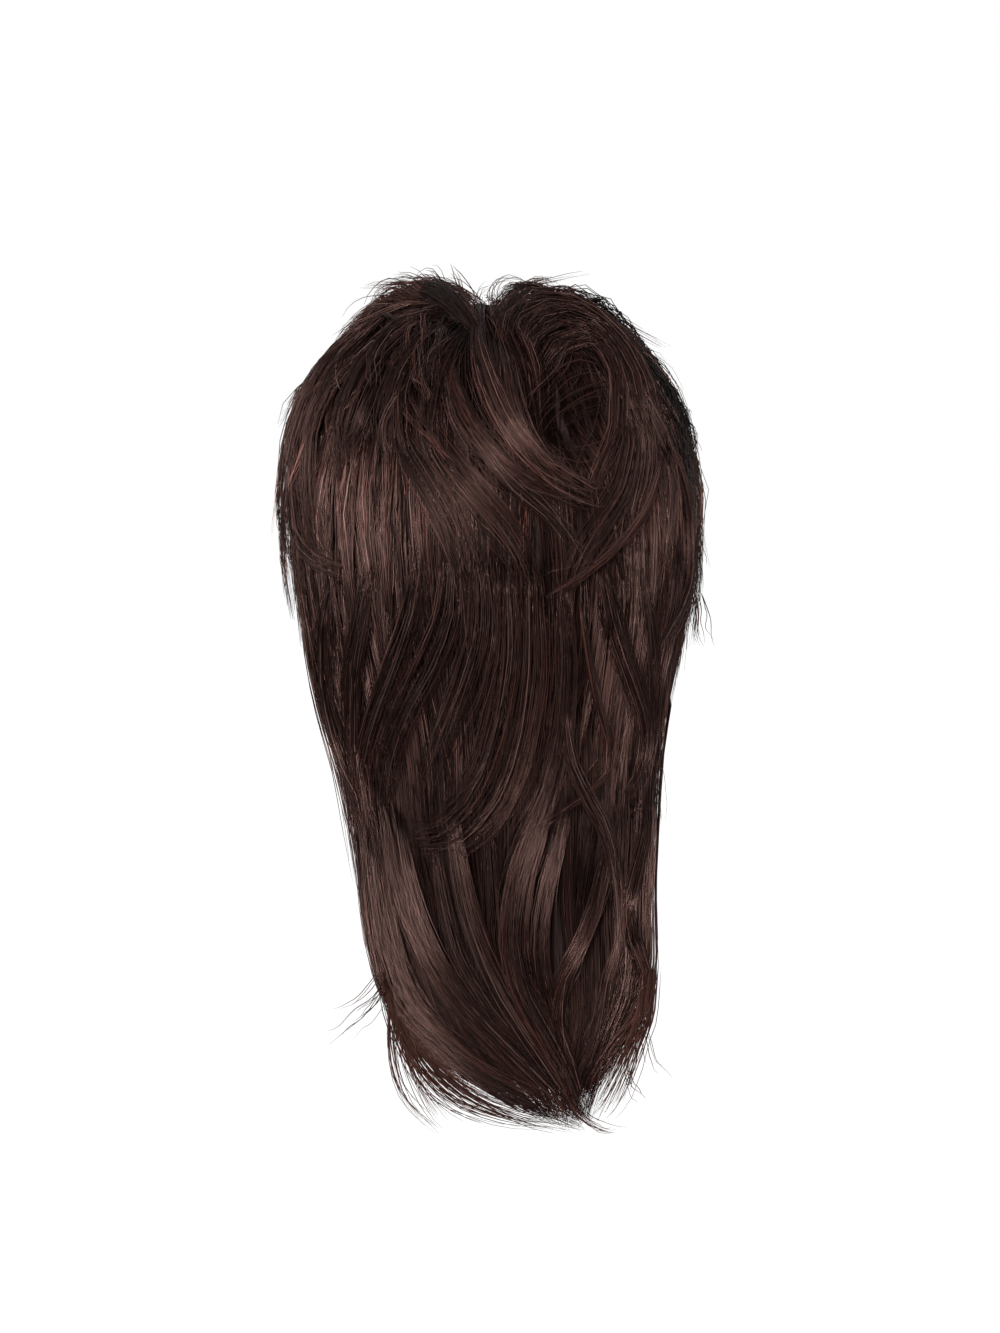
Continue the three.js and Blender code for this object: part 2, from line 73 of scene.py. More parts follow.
# Each layer of hair, between the same seams as in the model, and how its locks are drawn. lie is how far
# out in the layer its locks lie, and 1 is its outside. flick lifts their tips, wave and billow are their
# bends aside and outward, frizz is per strand, short is how much shorter some strands are, and gather is
# how much a lock narrows to its tip. nape_inner and the two edges are more of nape_hair's strands, on its
# inner face and along its front edges.
LAYERS = [
    dict(name="nape_hair", under="cap", over="nape", roots=(-80, 80), tips=(-80, 80), root=(0.98, 1.24),
         reach=(1.98, 1.99), middle=0.0, ragged=0.05, locks=48, strands=30, points=13, wide=15, thick=7,
         lie=(0.45, 1.0), wave=6, billow=4, flick=0, frizz=0.7, short=0.12, gather=0.55, recess=6),
    dict(name="nape_inner", under="cap", over="nape", roots=(-86, 86), tips=(-86, 86), root=(1.0, 1.3),
         reach=(1.93, 1.95), middle=0.0, ragged=0.06, locks=30, strands=19, points=10, wide=18, thick=0.5,
         lie=(0.0, 0.04), wave=4, billow=0.5, flick=0, frizz=0.5, short=0.12, gather=0.3),
    dict(name="nape_edge_left", under="cap", over="surface", roots=(83, 88), tips=(83, 88), root=(1.0, 1.2),
         reach=(1.94, 1.95), middle=0.0, ragged=0.08, locks=10, strands=17, points=10, wide=8, thick=2,
         lie=(0.0, 0.85), wave=2, billow=1, flick=0, frizz=0.5, short=0.12, gather=0.3),
    dict(name="nape_edge_right", under="cap", over="surface", roots=(-88, -83), tips=(-88, -83),
         root=(1.0, 1.2), reach=(1.94, 1.95), middle=0.0, ragged=0.08, locks=10, strands=17, points=10,
         wide=8, thick=2, lie=(0.0, 0.85), wave=2, billow=1, flick=0, frizz=0.5, short=0.12, gather=0.3),
    dict(name="back_hair", under="nape", over="back", roots=(-79, 79), tips=(-77, 80), root=(0.7, 0.99),
         reach=(1.58, 1.5), middle=0.02, ragged=0.36, locks=58, strands=29, points=11, wide=14, thick=5,
         lie=(0.5, 1.05), wave=5, billow=3, flick=3, frizz=0.7, short=0.25, gather=0.7),
    dict(name="crown_hair", under="back", over="crown", roots=(-78, 78), tips=(-80, 78), root=(0.36, 0.74),
         reach=(1.34, 1.26), middle=0.02, ragged=0.22, locks=62, strands=27, points=8, wide=13, thick=5,
         lie=(0.5, 1.05), wave=3, billow=2, flick=1.5, frizz=0.8, short=0.3, gather=0.7),
    dict(name="side_hair_left", under="ear", over="crown", roots=(80, 137), tips=(80, 137),
         root=(0.36, 0.7), reach=(1.16, 1.06), middle=0.09, ragged=0.1, locks=26, strands=28, points=8,
         wide=14, thick=6, lie=(0.45, 1.14), wave=4, billow=2, flick=-4, frizz=1.2, short=0.16, gather=0.5),
    dict(name="side_hair_right", under="ear", over="crown", roots=(-137, -80), tips=(-137, -82),
         root=(0.36, 0.7), reach=(1.08, 1.2), middle=0.09, ragged=0.1, locks=26, strands=28, points=8,
         wide=14, thick=6, lie=(0.45, 1.14), wave=4, billow=2, flick=-4, frizz=1.2, short=0.16, gather=0.5),
    dict(name="fringe", under="ear", over="crown", roots=(139, 221), tips=(138, 222), root=(0.34, 0.6),
         reach=(1.07, 1.07), middle=-0.14, ragged=0.08, locks=24, strands=24, points=8, wide=12, thick=6,
         lie=(0.5, 1.1), wave=3, billow=2, flick=2, frizz=1.0, short=0.3, gather=0.8),
    dict(name="top_hair_left", under="crown", over="surface", roots=(-2, 125), tips=(-12, 118),
         root=(0.0, 0.5), reach=(1.0, 0.9), middle=0.03, ragged=0.34, locks=90, strands=19, points=8,
         wide=13, thick=5, lie=(0.3, 1.05), wave=4, billow=2, flick=3, frizz=1.3, short=0.35, gather=0.75),
    dict(name="top_hair_right", under="crown", over="surface", roots=(-58, 2), tips=(-74, -10),
         root=(0.0, 0.45), reach=(1.08, 1.05), middle=0.06, ragged=0.35, locks=50, strands=21, points=8,
         wide=13, thick=5, lie=(0.3, 1.0), wave=4, billow=2, flick=2, frizz=1.2, short=0.35, gather=0.75),
    dict(name="teased_hair", under="crown", over="surface", roots=(-127, -58), tips=(-120, -69),
         root=(0.0, 0.6), reach=(0.92, 1.1), middle=0.02, ragged=0.35, locks=44, strands=12, points=18,
         wide=13, thick=6, lie=(0.4, 1.22), wave=5, billow=4, flick=2, frizz=1.6, short=0.35, gather=0.5,
         crimp=1.0),
    dict(name="front_hair", under="crown", over="surface", roots=(123, 237), tips=(116, 244),
         root=(0.0, 0.45), reach=(0.88, 0.88), middle=-0.06, ragged=0.3, locks=44, strands=20, points=8,
         wide=12, thick=5, lie=(0.3, 1.05), wave=3, billow=2, flick=2, frizz=1.3, short=0.35, gather=0.75),
]

# The photograph's millimetres to the pixel, and the pixel that the crown point falls on
PIXEL = 0.52
CROWN_X, CROWN_Y = 490, 322

# Locks laid over the layers as the photograph shows them: width and thickness in millimetres, strands,
# tone from 0, dark, to 1, light, and pixels of the route with its height over the hair's surface.
CROWN_LOCKS = [
    # the swept locks down the middle of the crown
    (10, 4, 80, 0.85, [(478, 322, 1), (478, 345, 4), (486, 378, 6), (500, 415, 6), (522, 450, 5),
                       (552, 476, 4), (588, 494, 2)]),
    (9, 4, 66, 0.75, [(442, 345, 0), (452, 382, 3), (464, 418, 4), (484, 448, 4), (512, 474, 4),
                      (548, 494, 3), (590, 510, 1)]),
    (11, 4, 62, 0.5, [(460, 395, 0), (478, 435, 3), (500, 468, 4), (530, 498, 3), (560, 525, 2),
                      (585, 565, 0)]),
    (9, 4, 60, 0.75, [(497, 335, -2), (502, 370, 2), (508, 405, 4), (522, 440, 4), (546, 468, 3),
                      (576, 484, 2)]),
    (17, 5, 70, 0.55, [(428, 425, -1), (450, 460, 2), (475, 492, 3), (502, 525, 2), (524, 562, 1),
                       (538, 612, -1)]),
    (17, 5, 70, 0.5, [(398, 428, -1), (418, 462, 2), (438, 495, 2), (456, 530, 2), (470, 570, 1),
                      (478, 620, -1)]),
    # the rounded mass right of the parting, and its sweep down the right side
    (17, 6, 85, 0.6, [(506, 350, -5), (511, 322, 2), (533, 302, 6), (570, 306, 7), (606, 332, 7),
                      (634, 370, 6), (650, 412, 4), (654, 465, 1)]),
    (16, 6, 75, 0.65, [(522, 360, -6), (530, 334, 2), (555, 320, 7), (585, 330, 8), (610, 355, 7),
                       (627, 392, 6), (630, 432, 4), (618, 480, 1)]),
    (14, 5, 65, 0.6, [(545, 368, -6), (560, 346, 2), (582, 341, 6), (602, 360, 7), (613, 392, 6),
                      (613, 430, 4), (600, 470, 3), (586, 508, 0)]),
    (18, 6, 90, 0.7, [(598, 348, 1), (618, 382, 4), (635, 420, 5), (643, 460, 4), (636, 505, 2),
                      (624, 560, -1)]),
    (16, 6, 80, 0.65, [(618, 364, 0), (640, 402, 3), (657, 442, 4), (667, 484, 4), (668, 535, 2),
                       (660, 600, -1)]),
    (12, 6, 65, 0.7, [(640, 402, -1), (660, 434, 2), (678, 472, 3), (688, 512, 3), (691, 565, 2),
                      (686, 622, 0)]),
    (15, 5, 65, 0.7, [(612, 400, 2), (626, 440, 5), (620, 482, 4), (602, 517, 3), (582, 548, 2),
                      (566, 590, 0)]),
    (5, 3, 18, 0.95, [(658, 450, 4), (642, 500, 5), (615, 542, 4), (585, 570, 3), (545, 597, 2)]),
    (12, 6, 45, 0.4, [(474, 328, -3), (452, 303, 5), (427, 292, 9), (402, 298, 8), (380, 314, 5),
                      (362, 338, 3)]),
    (10, 6, 36, 0.35, [(482, 334, -3), (464, 312, 6), (446, 296, 10), (424, 290, 11), (404, 292, 8)]),
    (10, 5, 36, 0.4, [(572, 312, -3), (552, 298, 4), (528, 293, 7), (508, 302, 7), (498, 322, 4)]),
    # thin strands across the dark hollow
    (14, 6, 6, 0.6, [(614, 384, 5), (592, 388, 3), (568, 398, 0), (549, 412, -3), (538, 430, -5)]),
    (12, 6, 5, 0.55, [(610, 404, 4), (586, 410, 2), (563, 420, -2), (545, 432, -4)]),
    (13, 6, 5, 0.6, [(602, 378, 5), (580, 371, 4), (560, 379, 1), (545, 394, -2), (533, 412, -5)]),
    (12, 5, 6, 0.6, [(572, 348, 5), (570, 370, 3), (558, 386, 0), (543, 399, -3), (526, 406, -6)]),
    (12, 5, 5, 0.5, [(622, 440, 4), (600, 453, 1), (580, 456, -2), (560, 450, -5)]),
    (11, 5, 5, 0.6, [(577, 502, 2), (566, 480, 0), (561, 455, -4), (559, 428, -7)]),
    (10, 4, 8, 0.4, [(548, 474, -1), (531, 444, -5), (521, 412, -7), (516, 382, -7)]),
    (16, 5, 22, 1.0, [(478, 330, 2), (482, 370, 6), (496, 412, 7), (520, 450, 7), (556, 480, 6),
                      (600, 500, 4)]),
    (14, 5, 18, 1.0, [(505, 345, 1), (508, 385, 5), (518, 425, 6), (538, 460, 5), (570, 486, 4),
                      (606, 498, 3)]),
    # the choppy left side of the crown
    (8, 6, 16, 0.9, [(404, 318, 2), (388, 342, 6), (380, 368, 8), (383, 392, 9)]),
    (7, 6, 14, 0.9, [(432, 330, 2), (424, 356, 6), (426, 384, 8), (436, 408, 9)]),
    (8, 6, 14, 0.8, [(368, 334, 2), (344, 362, 6), (330, 396, 8), (326, 424, 8)]),
    (8, 6, 16, 0.85, [(412, 384, 3), (398, 408, 6), (390, 436, 8), (396, 466, 8)]),
    (8, 6, 16, 0.85, [(448, 372, 3), (452, 404, 6), (462, 436, 7), (480, 462, 6)]),
    (6, 6, 12, 0.8, [(352, 396, 3), (346, 424, 6), (352, 452, 8), (366, 470, 7)]),
    (7, 6, 12, 0.8, [(330, 360, 3), (310, 396, 6), (296, 440, 7), (290, 480, 7)]),
    (6, 5, 12, 0.9, [(458, 338, 2), (446, 352, 5), (436, 372, 7), (440, 394, 8)]),
    (19, 6, 70, 0.35, [(452, 308, -3), (410, 322, 3), (374, 356, 4), (352, 402, 4), (342, 446, 4),
                       (346, 478, 2)]),
    (17, 6, 60, 0.3, [(456, 318, -3), (428, 342, 3), (404, 380, 4), (392, 424, 4), (396, 462, 3)]),
    (15, 6, 55, 0.35, [(468, 322, -3), (450, 350, 3), (436, 388, 4), (430, 430, 4), (436, 468, 2)]),
    (17, 6, 65, 0.4, [(430, 303, -3), (374, 318, 3), (330, 358, 4), (305, 408, 4), (292, 466, 3),
                      (292, 530, 1)]),
    (14, 5, 60, 0.6, [(390, 312, 0), (340, 338, 2), (307, 382, 3), (285, 440, 3), (279, 502, 3),
                      (286, 548, 2), (303, 574, 0)]),
    (14, 5, 55, 0.5, [(365, 345, 0), (330, 386, 3), (312, 432, 4), (308, 482, 3), (314, 532, 2),
                      (334, 566, 1)]),
    (10, 4, 36, 0.7, [(300, 432, 2), (293, 482, 4), (298, 532, 4), (316, 560, 3), (346, 572, 2)]),
    (9, 4, 30, 0.5, [(412, 372, 3), (404, 402, 5), (405, 436, 5), (412, 462, 3)]),
    (9, 4, 30, 0.3, [(380, 388, 3), (370, 420, 5), (356, 446, 4), (338, 458, 3)]),
]
BACK_LOCKS = [
    (16, 5, 56, 0.55, [(452, 540, -1), (448, 606, 1), (432, 654, 2), (410, 697, 2), (391, 742, 1),
                       (381, 792, 0), (380, 842, -1)]),
    (18, 5, 60, 0.6, [(482, 540, -1), (484, 620, 1), (473, 672, 3), (457, 716, 3), (440, 760, 2),
                      (426, 800, 1)]),
    (16, 5, 60, 0.65, [(506, 560, -1), (509, 640, 1), (501, 704, 3), (485, 762, 4), (460, 806, 4),
                       (424, 828, 4), (398, 824, 3)]),
    (14, 5, 55, 0.65, [(532, 560, -1), (534, 650, 1), (526, 722, 3), (508, 784, 4), (480, 826, 5),
                       (446, 848, 4), (412, 844, 3)]),
    (15, 5, 50, 0.5, [(422, 550, -1), (412, 610, 1), (396, 660, 2), (376, 712, 2), (363, 762, 2),
                      (361, 812, 1), (374, 856, 0)]),
    (15, 5, 50, 0.6, [(556, 570, -1), (562, 650, 1), (557, 722, 3), (541, 790, 3), (517, 838, 3),
                      (498, 886, 1)]),
    (5, 3, 24, 0.85, [(577, 590, 1), (584, 640, 2), (594, 700, 4), (604, 742, 5), (602, 768, 5),
                      (584, 790, 5), (554, 811, 4), (512, 834, 3)]),
    (7, 4, 36, 0.95, [(562, 700, 2), (568, 752, 4), (583, 792, 6), (600, 826, 6), (608, 862, 5),
                      (607, 905, 3)]),
    (13, 5, 50, 0.6, [(600, 560, -1), (612, 620, 1), (630, 680, 3), (641, 726, 4), (636, 766, 4),
                      (621, 794, 3)]),
    (13, 5, 50, 0.5, [(642, 560, -1), (649, 620, 1), (653, 680, 2), (650, 732, 2), (641, 782, 2),
                      (644, 834, 0)]),
    (13, 5, 50, 0.5, [(682, 540, 0), (675, 600, 1), (662, 654, 2), (653, 708, 2), (655, 762, 1),
                      (660, 822, 0)]),
    (8, 4, 34, 0.75, [(697, 530, 2), (691, 578, 3), (674, 620, 4), (656, 652, 3)]),
    (14, 5, 50, 0.5, [(332, 570, -1), (324, 636, 1), (329, 700, 2), (346, 762, 1), (363, 822, 1),
                      (376, 872, 0)]),
    (10, 5, 44, 0.55, [(300, 590, 0), (309, 660, 1), (323, 722, 1), (341, 782, 1), (352, 842, 1),
                       (360, 902, 0)]),
    (13, 5, 46, 0.5, [(372, 560, -1), (362, 620, 1), (352, 684, 2), (352, 744, 2), (364, 806, 1),
                      (382, 860, 0)]),
]
LONG_LOCKS = [
    (11, 6, 75, 0.7, [(378, 772, -1), (388, 822, 1), (402, 876, 5), (423, 930, 7), (450, 982, 6),
                      (490, 1030, 3), (535, 1076, 1), (580, 1110, 0)]),
    (8, 5, 55, 0.65, [(396, 800, -1), (406, 845, 3), (420, 892, 6), (442, 946, 7), (472, 996, 5),
                      (512, 1042, 3), (552, 1082, 1), (584, 1112, 0)]),
    (10, 6, 70, 0.65, [(448, 790, -1), (457, 840, 3), (467, 890, 6), (484, 944, 7), (507, 995, 6),
                       (535, 1042, 3), (562, 1082, 1), (586, 1116, 0)]),
    (14, 6, 85, 0.85, [(556, 760, -1), (536, 820, 3), (517, 880, 7), (512, 930, 9), (520, 976, 8),
                       (540, 1018, 5), (562, 1058, 2), (584, 1106, 0)]),
    (9, 5, 55, 0.75, [(572, 780, -1), (558, 835, 3), (543, 886, 6), (537, 935, 8), (542, 976, 7),
                      (554, 1018, 4), (570, 1058, 1), (586, 1106, 0)]),
    (9, 5, 55, 0.8, [(612, 800, -1), (606, 850, 3), (592, 896, 7), (574, 938, 9), (558, 974, 8),
                     (554, 1006, 5), (562, 1036, 3), (576, 1062, 0)]),
    (6, 4, 38, 0.7, [(598, 780, 0), (604, 830, 3), (612, 880, 6), (614, 930, 6), (606, 972, 4),
                     (600, 1020, 2), (590, 1062, 0)]),
    (9, 5, 50, 0.7, [(652, 780, -1), (648, 820, 1), (632, 868, 5), (622, 906, 7), (631, 942, 6),
                     (643, 975, 4), (640, 1006, 2), (618, 1038, 1), (597, 1070, 0),
                     (587, 1104, 0)]),
    (13, 6, 75, 0.45, [(352, 780, -1), (360, 835, 1), (367, 895, 2), (377, 948, 3), (393, 996, 3),
                       (424, 1034, 2), (472, 1067, 1), (530, 1096, 0), (582, 1117, 0)]),
    (11, 6, 65, 0.55, [(366, 800, -1), (374, 850, 1), (384, 900, 4), (398, 954, 5), (419, 1002, 4),
                       (456, 1042, 3), (504, 1076, 1), (552, 1100, 0), (587, 1118, 0)]),
    (13, 6, 75, 0.45, [(654, 780, -1), (651, 835, 1), (647, 895, 1), (646, 950, 2), (642, 990, 2),
                       (630, 1022, 1), (608, 1050, 1), (592, 1082, 0), (585, 1114, 0)]),
    (11, 6, 50, 0.2, [(624, 860, -3), (630, 945, 0), (624, 988, 1), (610, 1026, 1), (597, 1062, 0),
                      (587, 1102, 0)]),
    (9, 6, 50, 0.35, [(486, 800, -2), (490, 870, 1), (495, 935, 2), (508, 985, 2), (532, 1032, 1),
                      (560, 1076, 0), (584, 1112, 0)]),
    (8, 6, 45, 0.3, [(430, 820, -2), (440, 885, 1), (456, 945, 2), (480, 990, 2), (515, 1036, 1),
                     (552, 1078, 0), (582, 1110, 0)]),
]
# Loose strands that stand clear of the rest: strands, scatter, half a strand's width, and pixels with
# millimetres behind the crown point. The tufts rise from the crown, and the wisps hang below the tips.
TUFTS = [
    (7, 1.6, 0.3, [(466, 322, 26), (463, 300, 22), (457, 276, 18), (451, 263, 15), (445, 259, 13)]),
    (11, 2.8, 0.28, [(464, 322, 28), (453, 298, 24), (442, 283, 20), (427, 267, 16), (416, 272, 12),
                     (410, 284, 10)]),
    (14, 2.8, 0.3, [(462, 320, 28), (444, 299, 25), (432, 284, 22), (423, 276, 19), (414, 277, 16),
                    (411, 290, 15)]),
    (12, 1.8, 0.3, [(446, 312, 28), (430, 292, 24), (413, 276, 20), (400, 272, 17), (393, 273, 15),
                    (391, 281, 14)]),
    (16, 2.6, 0.31, [(446, 318, 30), (428, 302, 27), (411, 290, 24), (396, 283, 20), (383, 286, 17),
                     (375, 296, 15), (367, 312, 14)]),
    (50, 6, 0.28, [(440, 324, 34), (424, 308, 30), (404, 298, 26), (386, 299, 22), (368, 311, 20),
                   (356, 326, 18)]),
    (18, 4, 0.3, [(420, 324, 38), (400, 306, 34), (378, 303, 30), (358, 316, 26), (346, 334, 24)]),
    (60, 7, 0.28, [(474, 326, 30), (464, 310, 26), (446, 299, 22), (424, 294, 18)]),
    (14, 3, 0.28, [(484, 328, 24), (474, 312, 20), (462, 300, 16), (452, 296, 12)]),
    (14, 2.2, 0.3, [(494, 328, 26), (501, 309, 22), (512, 294, 19), (527, 284, 16), (541, 278, 14),
                    (551, 280, 12), (556, 290, 10)]),
    (16, 2.2, 0.3, [(560, 310, 28), (540, 293, 24), (527, 285, 20), (514, 281, 17), (506, 285, 15),
                    (504, 294, 13)]),
    (7, 1.8, 0.26, [(494, 322, 22), (495, 288, 18), (502, 276, 15), (514, 273, 13), (524, 276, 12),
                    (528, 284, 11)]),
    (16, 2.6, 0.3, [(500, 320, 28), (515, 301, 25), (530, 291, 21), (546, 282, 18), (555, 285, 16),
                    (560, 293, 15)]),
    (6, 1.8, 0.24, [(480, 326, 24), (476, 294, 19), (481, 284, 16), (489, 281, 14)]),
    (26, 4, 0.28, [(486, 332, 28), (494, 314, 24), (506, 302, 20), (520, 294, 17)]),
    (22, 4, 0.28, [(540, 308, 34), (560, 297, 30), (582, 297, 26), (604, 310, 22)]),
    (12, 4, 0.3, [(695, 590, 10), (698, 612, 12), (695, 630, 14), (700, 644, 16)]),
    (12, 3, 0.3, [(697, 470, 4), (700, 505, 4), (696, 540, 4), (699, 566, 6)]),
]
WISPS = [
    (16, 2.4, 0.26, [(388, 960, 84), (391, 1001, 86), (391, 1027, 87), (394, 1058, 88), (403, 1086, 89),
                     (419, 1105, 90), (436, 1120, 90)]),
    (20, 2.6, 0.28, [(392, 975, 84), (401, 1021, 86), (408, 1046, 87), (418, 1074, 88), (431, 1099, 89),
                     (446, 1116, 90)]),
    (34, 3.4, 0.3, [(386, 970, 85), (397, 1015, 87), (411, 1046, 88), (428, 1072, 89), (450, 1092, 90),
                    (478, 1106, 91), (520, 1118, 91), (550, 1121, 91)]),
    (36, 3.4, 0.3, [(400, 985, 86), (412, 1026, 88), (430, 1056, 90), (456, 1080, 91), (492, 1101, 92),
                    (534, 1115, 92), (570, 1121, 92)]),
    (34, 3, 0.3, [(652, 960, 84), (645, 1012, 86), (634, 1042, 87), (625, 1070, 88), (611, 1098, 89),
                  (597, 1114, 90)]),
    (26, 3, 0.28, [(646, 975, 86), (636, 1022, 88), (622, 1056, 90), (606, 1088, 91), (596, 1108, 92)]),
    (14, 2, 0.28, [(560, 1080, 92), (578, 1106, 92), (592, 1118, 92), (606, 1123, 92), (619, 1125, 92)]),
    (16, 2.4, 0.28, [(548, 1080, 92), (560, 1104, 92), (566, 1122, 92)]),
    (7, 5, 0.24, [(392, 975, 84), (376, 1000, 86), (356, 1016, 87), (338, 1030, 88)]),
    (4, 4, 0.24, [(386, 965, 82), (362, 996, 84), (338, 1008, 84)]),
    (4, 3, 0.24, [(642, 1020, 86), (652, 1056, 88), (666, 1071, 88)]),
    (4, 3, 0.24, [(628, 1060, 88), (636, 1082, 88), (647, 1092, 88)]),
]
STRAND, LAID_STRAND = 0.29, 0.24  # half a strand's width
# The mounds of the front hair, each side of the parting, and the hollow on the crown. Both are given by
# degrees from the back, and by how far down from the crown, where 1 is the widest level.
MOUND = dict(high=0.9, tall=0.55, parting=17.0, side=95.0, fade=40.0)
POCKET = dict(turn=-21.0, down=0.77, wide=14.5, tall=0.11, deep=22.0)
# How the longest hair is drawn in towards its point
DRAW_IN = [(1, 1), (1.14, 0.94), (1.25, 0.9), (1.4, 0.84), (1.5, 0.83), (1.58, 0.79), (1.65, 0.77),
           (1.75, 0.75), (1.8, 0.74), (1.85, 0.67),
           (1.9, 0.52), (1.95, 0.34), (2, 0.17)]
DRAW_ASIDE = [(1.7, 0), (1.85, -2), (2, -8)]
# Painted light and shade on the layers, crown to tips, brightest in a painted sheen band at the widest level
PAINTED_SHEEN_AND_SHADE = [(0, 1.6), (0.35, 1.1), (0.65, 0.66), (0.8, 0.66), (0.88, 1.6), (0.97, 3.3), (1.02, 2.5),
         (1.06, 1.0), (1.1, 0.58), (1.15, 0.75), (1.25, 1.2),
         (1.4, 1.2), (1.48, 0.45), (1.56, 0.28), (1.66, 0.4), (1.85, 0.65), (2, 0.9)]


def mix(a, b, t):
    return a + (b - a) * t


def read(rows, at, column=1):
    """A column of a table on a smooth curve that never overshoots its rows."""
    x = np.array([r[0] for r in rows], float)
    y = np.array([r[column] for r in rows], float)
    at = np.clip(at, x[0], x[-1])
    step = np.diff(x)
    chord = np.diff(y) / step
    slope = np.empty(len(x))
    slope[0], slope[-1] = chord[0], chord[-1]
    a, b = chord[:-1], chord[1:]
    slope[1:-1] = np.where(a * b > 0, 2 * a * b / np.where(a + b == 0, 1, a + b), 0)
    i = np.clip(np.searchsorted(x, at, side="right") - 1, 0, len(x) - 2)
    t = (at - x[i]) / step[i]
    return (
        y[i] * (2 * t**3 - 3 * t**2 + 1)
        + slope[i] * step[i] * (t**3 - 2 * t**2 + t)
        + y[i + 1] * (3 * t**2 - 2 * t**3)
        + slope[i + 1] * step[i] * (t**3 - t**2)
    )


def section(name, at):
    return read(SECTIONS, at, SECTION_COLUMNS.index(name))


def surface(body, turn, down, out=0.0):
    """Points of a body's surface, as in the model."""
    turn, down = np.broadcast_arrays(np.asarray(turn, float), np.asarray(down, float))
    across, along = np.sin(np.radians(turn)), np.cos(np.radians(turn))
    depth = np.where(along > 0, body["back"], body["front"])
    angle = np.clip(down, 0.0, 1.0) * math.pi / 2
    spread = np.sin(angle) ** (2 / body["power"])
    height = np.abs(np.cos(angle)) ** (2 / body["power"])
    dome = np.stack([(body["half"] + out) * spread * across, (depth + out) * spread * along,
                     (body["rise"] + out) * height - HEAD_RISE], -1)
    at = np.clip(down - 1, 0, 1.05)
    centre = section("centre", at) * body["back"]
    reach = np.where(along > 0, section(body["backs"], at) * body["back"] - centre, body["front"] + centre)
    half = section(body["widths"], at) * body["half"]
    hang = np.stack([section("shift", at) * HAIR["half"] + (half + out) * across,
                     centre + (reach + out) * along, -HEAD_RISE - HANG * at], -1)
    return np.where((down <= 1)[..., None], dome, hang)


def unit(v):
    return v / np.maximum(np.linalg.norm(v, axis=-1, keepdims=True), 1e-9)


def dented(turn, down):
    """How deep in the hollow on the crown, from 0 to 1."""
    across, along = (turn - POCKET["turn"]) / POCKET["wide"], (down - POCKET["down"]) / POCKET["tall"]
    return np.exp(-(across**2) - along**2)


def place(turn, down, out, aside):
    """Points at turn and down, out millimetres from the cap and aside millimetres round the head."""
    start = surface(HEAD, turn, down, CAP_WALL)
    outer = surface(HAIR, turn, down)
    way = unit(outer - start)
    across = unit(surface(HAIR, turn + 0.5, down) - surface(HAIR, turn - 0.5, down))
    out = out - POCKET["deep"] * dented(turn, down)
    front = np.clip((np.abs(turn) - MOUND["side"]) / MOUND["fade"], 0, 1)
    front = front * (1 - np.exp(-((start[..., 0] / MOUND["parting"]) ** 2)))
    out = out * (1 + MOUND["high"] * front * np.exp(-((down / MOUND["tall"]) ** 2)))
    return start + way * out[..., None] + across * aside[..., None]


def depth_at(seam, turn, down):
    """Millimetres from the cap out to a seam."""
    length = np.linalg.norm(surface(HAIR, turn, down) - surface(HEAD, turn, down, CAP_WALL), axis=-1)
    return read(SEAMS[seam], down) * length


def wander(count, t):
    """A smooth random wander for each strand, which starts at 0."""
    total = np.zeros((count, len(t)))
    for k in (1, 2, 3):
        phase = rng.uniform(0, 2 * math.pi, (count, 1))
        pace = rng.uniform(0.6, 1.4, (count, 1)) * k
        total += rng.normal(0, 1, (count, 1)) / k * (np.sin(2 * math.pi * pace * t + phase) - np.sin(phase))
    return total


# Meshes


def new_object(name, verts, faces, material, tones=None):
    """A smooth mesh from points in millimetres, with a colour for each where tones are given."""
    mesh = bpy.data.meshes.new(name)
    verts = np.asarray(verts, np.float32).reshape(-1, 3) / 1000
    faces = np.asarray(faces, np.int32)
    mesh.vertices.add(len(verts))
    mesh.vertices.foreach_set("co", verts.ravel())
    mesh.loops.add(faces.size)
    mesh.loops.foreach_set("vertex_index", faces.ravel())
    mesh.polygons.add(len(faces))
    mesh.polygons.foreach_set("loop_start", np.arange(0, faces.size, faces.shape[1], dtype=np.int32))
    mesh.polygons.foreach_set("use_smooth", np.ones(len(faces), bool))
    if tones is not None:
        layer = mesh.attributes.new("strand", "FLOAT_COLOR", "POINT")
        layer.data.foreach_set("color", np.asarray(tones, np.float32).ravel())
    mesh.update()
    mesh.validate()
    mesh.materials.append(material)
    obj = bpy.data.objects.new(name, mesh)
    bpy.context.scene.collection.objects.link(obj)
    return obj


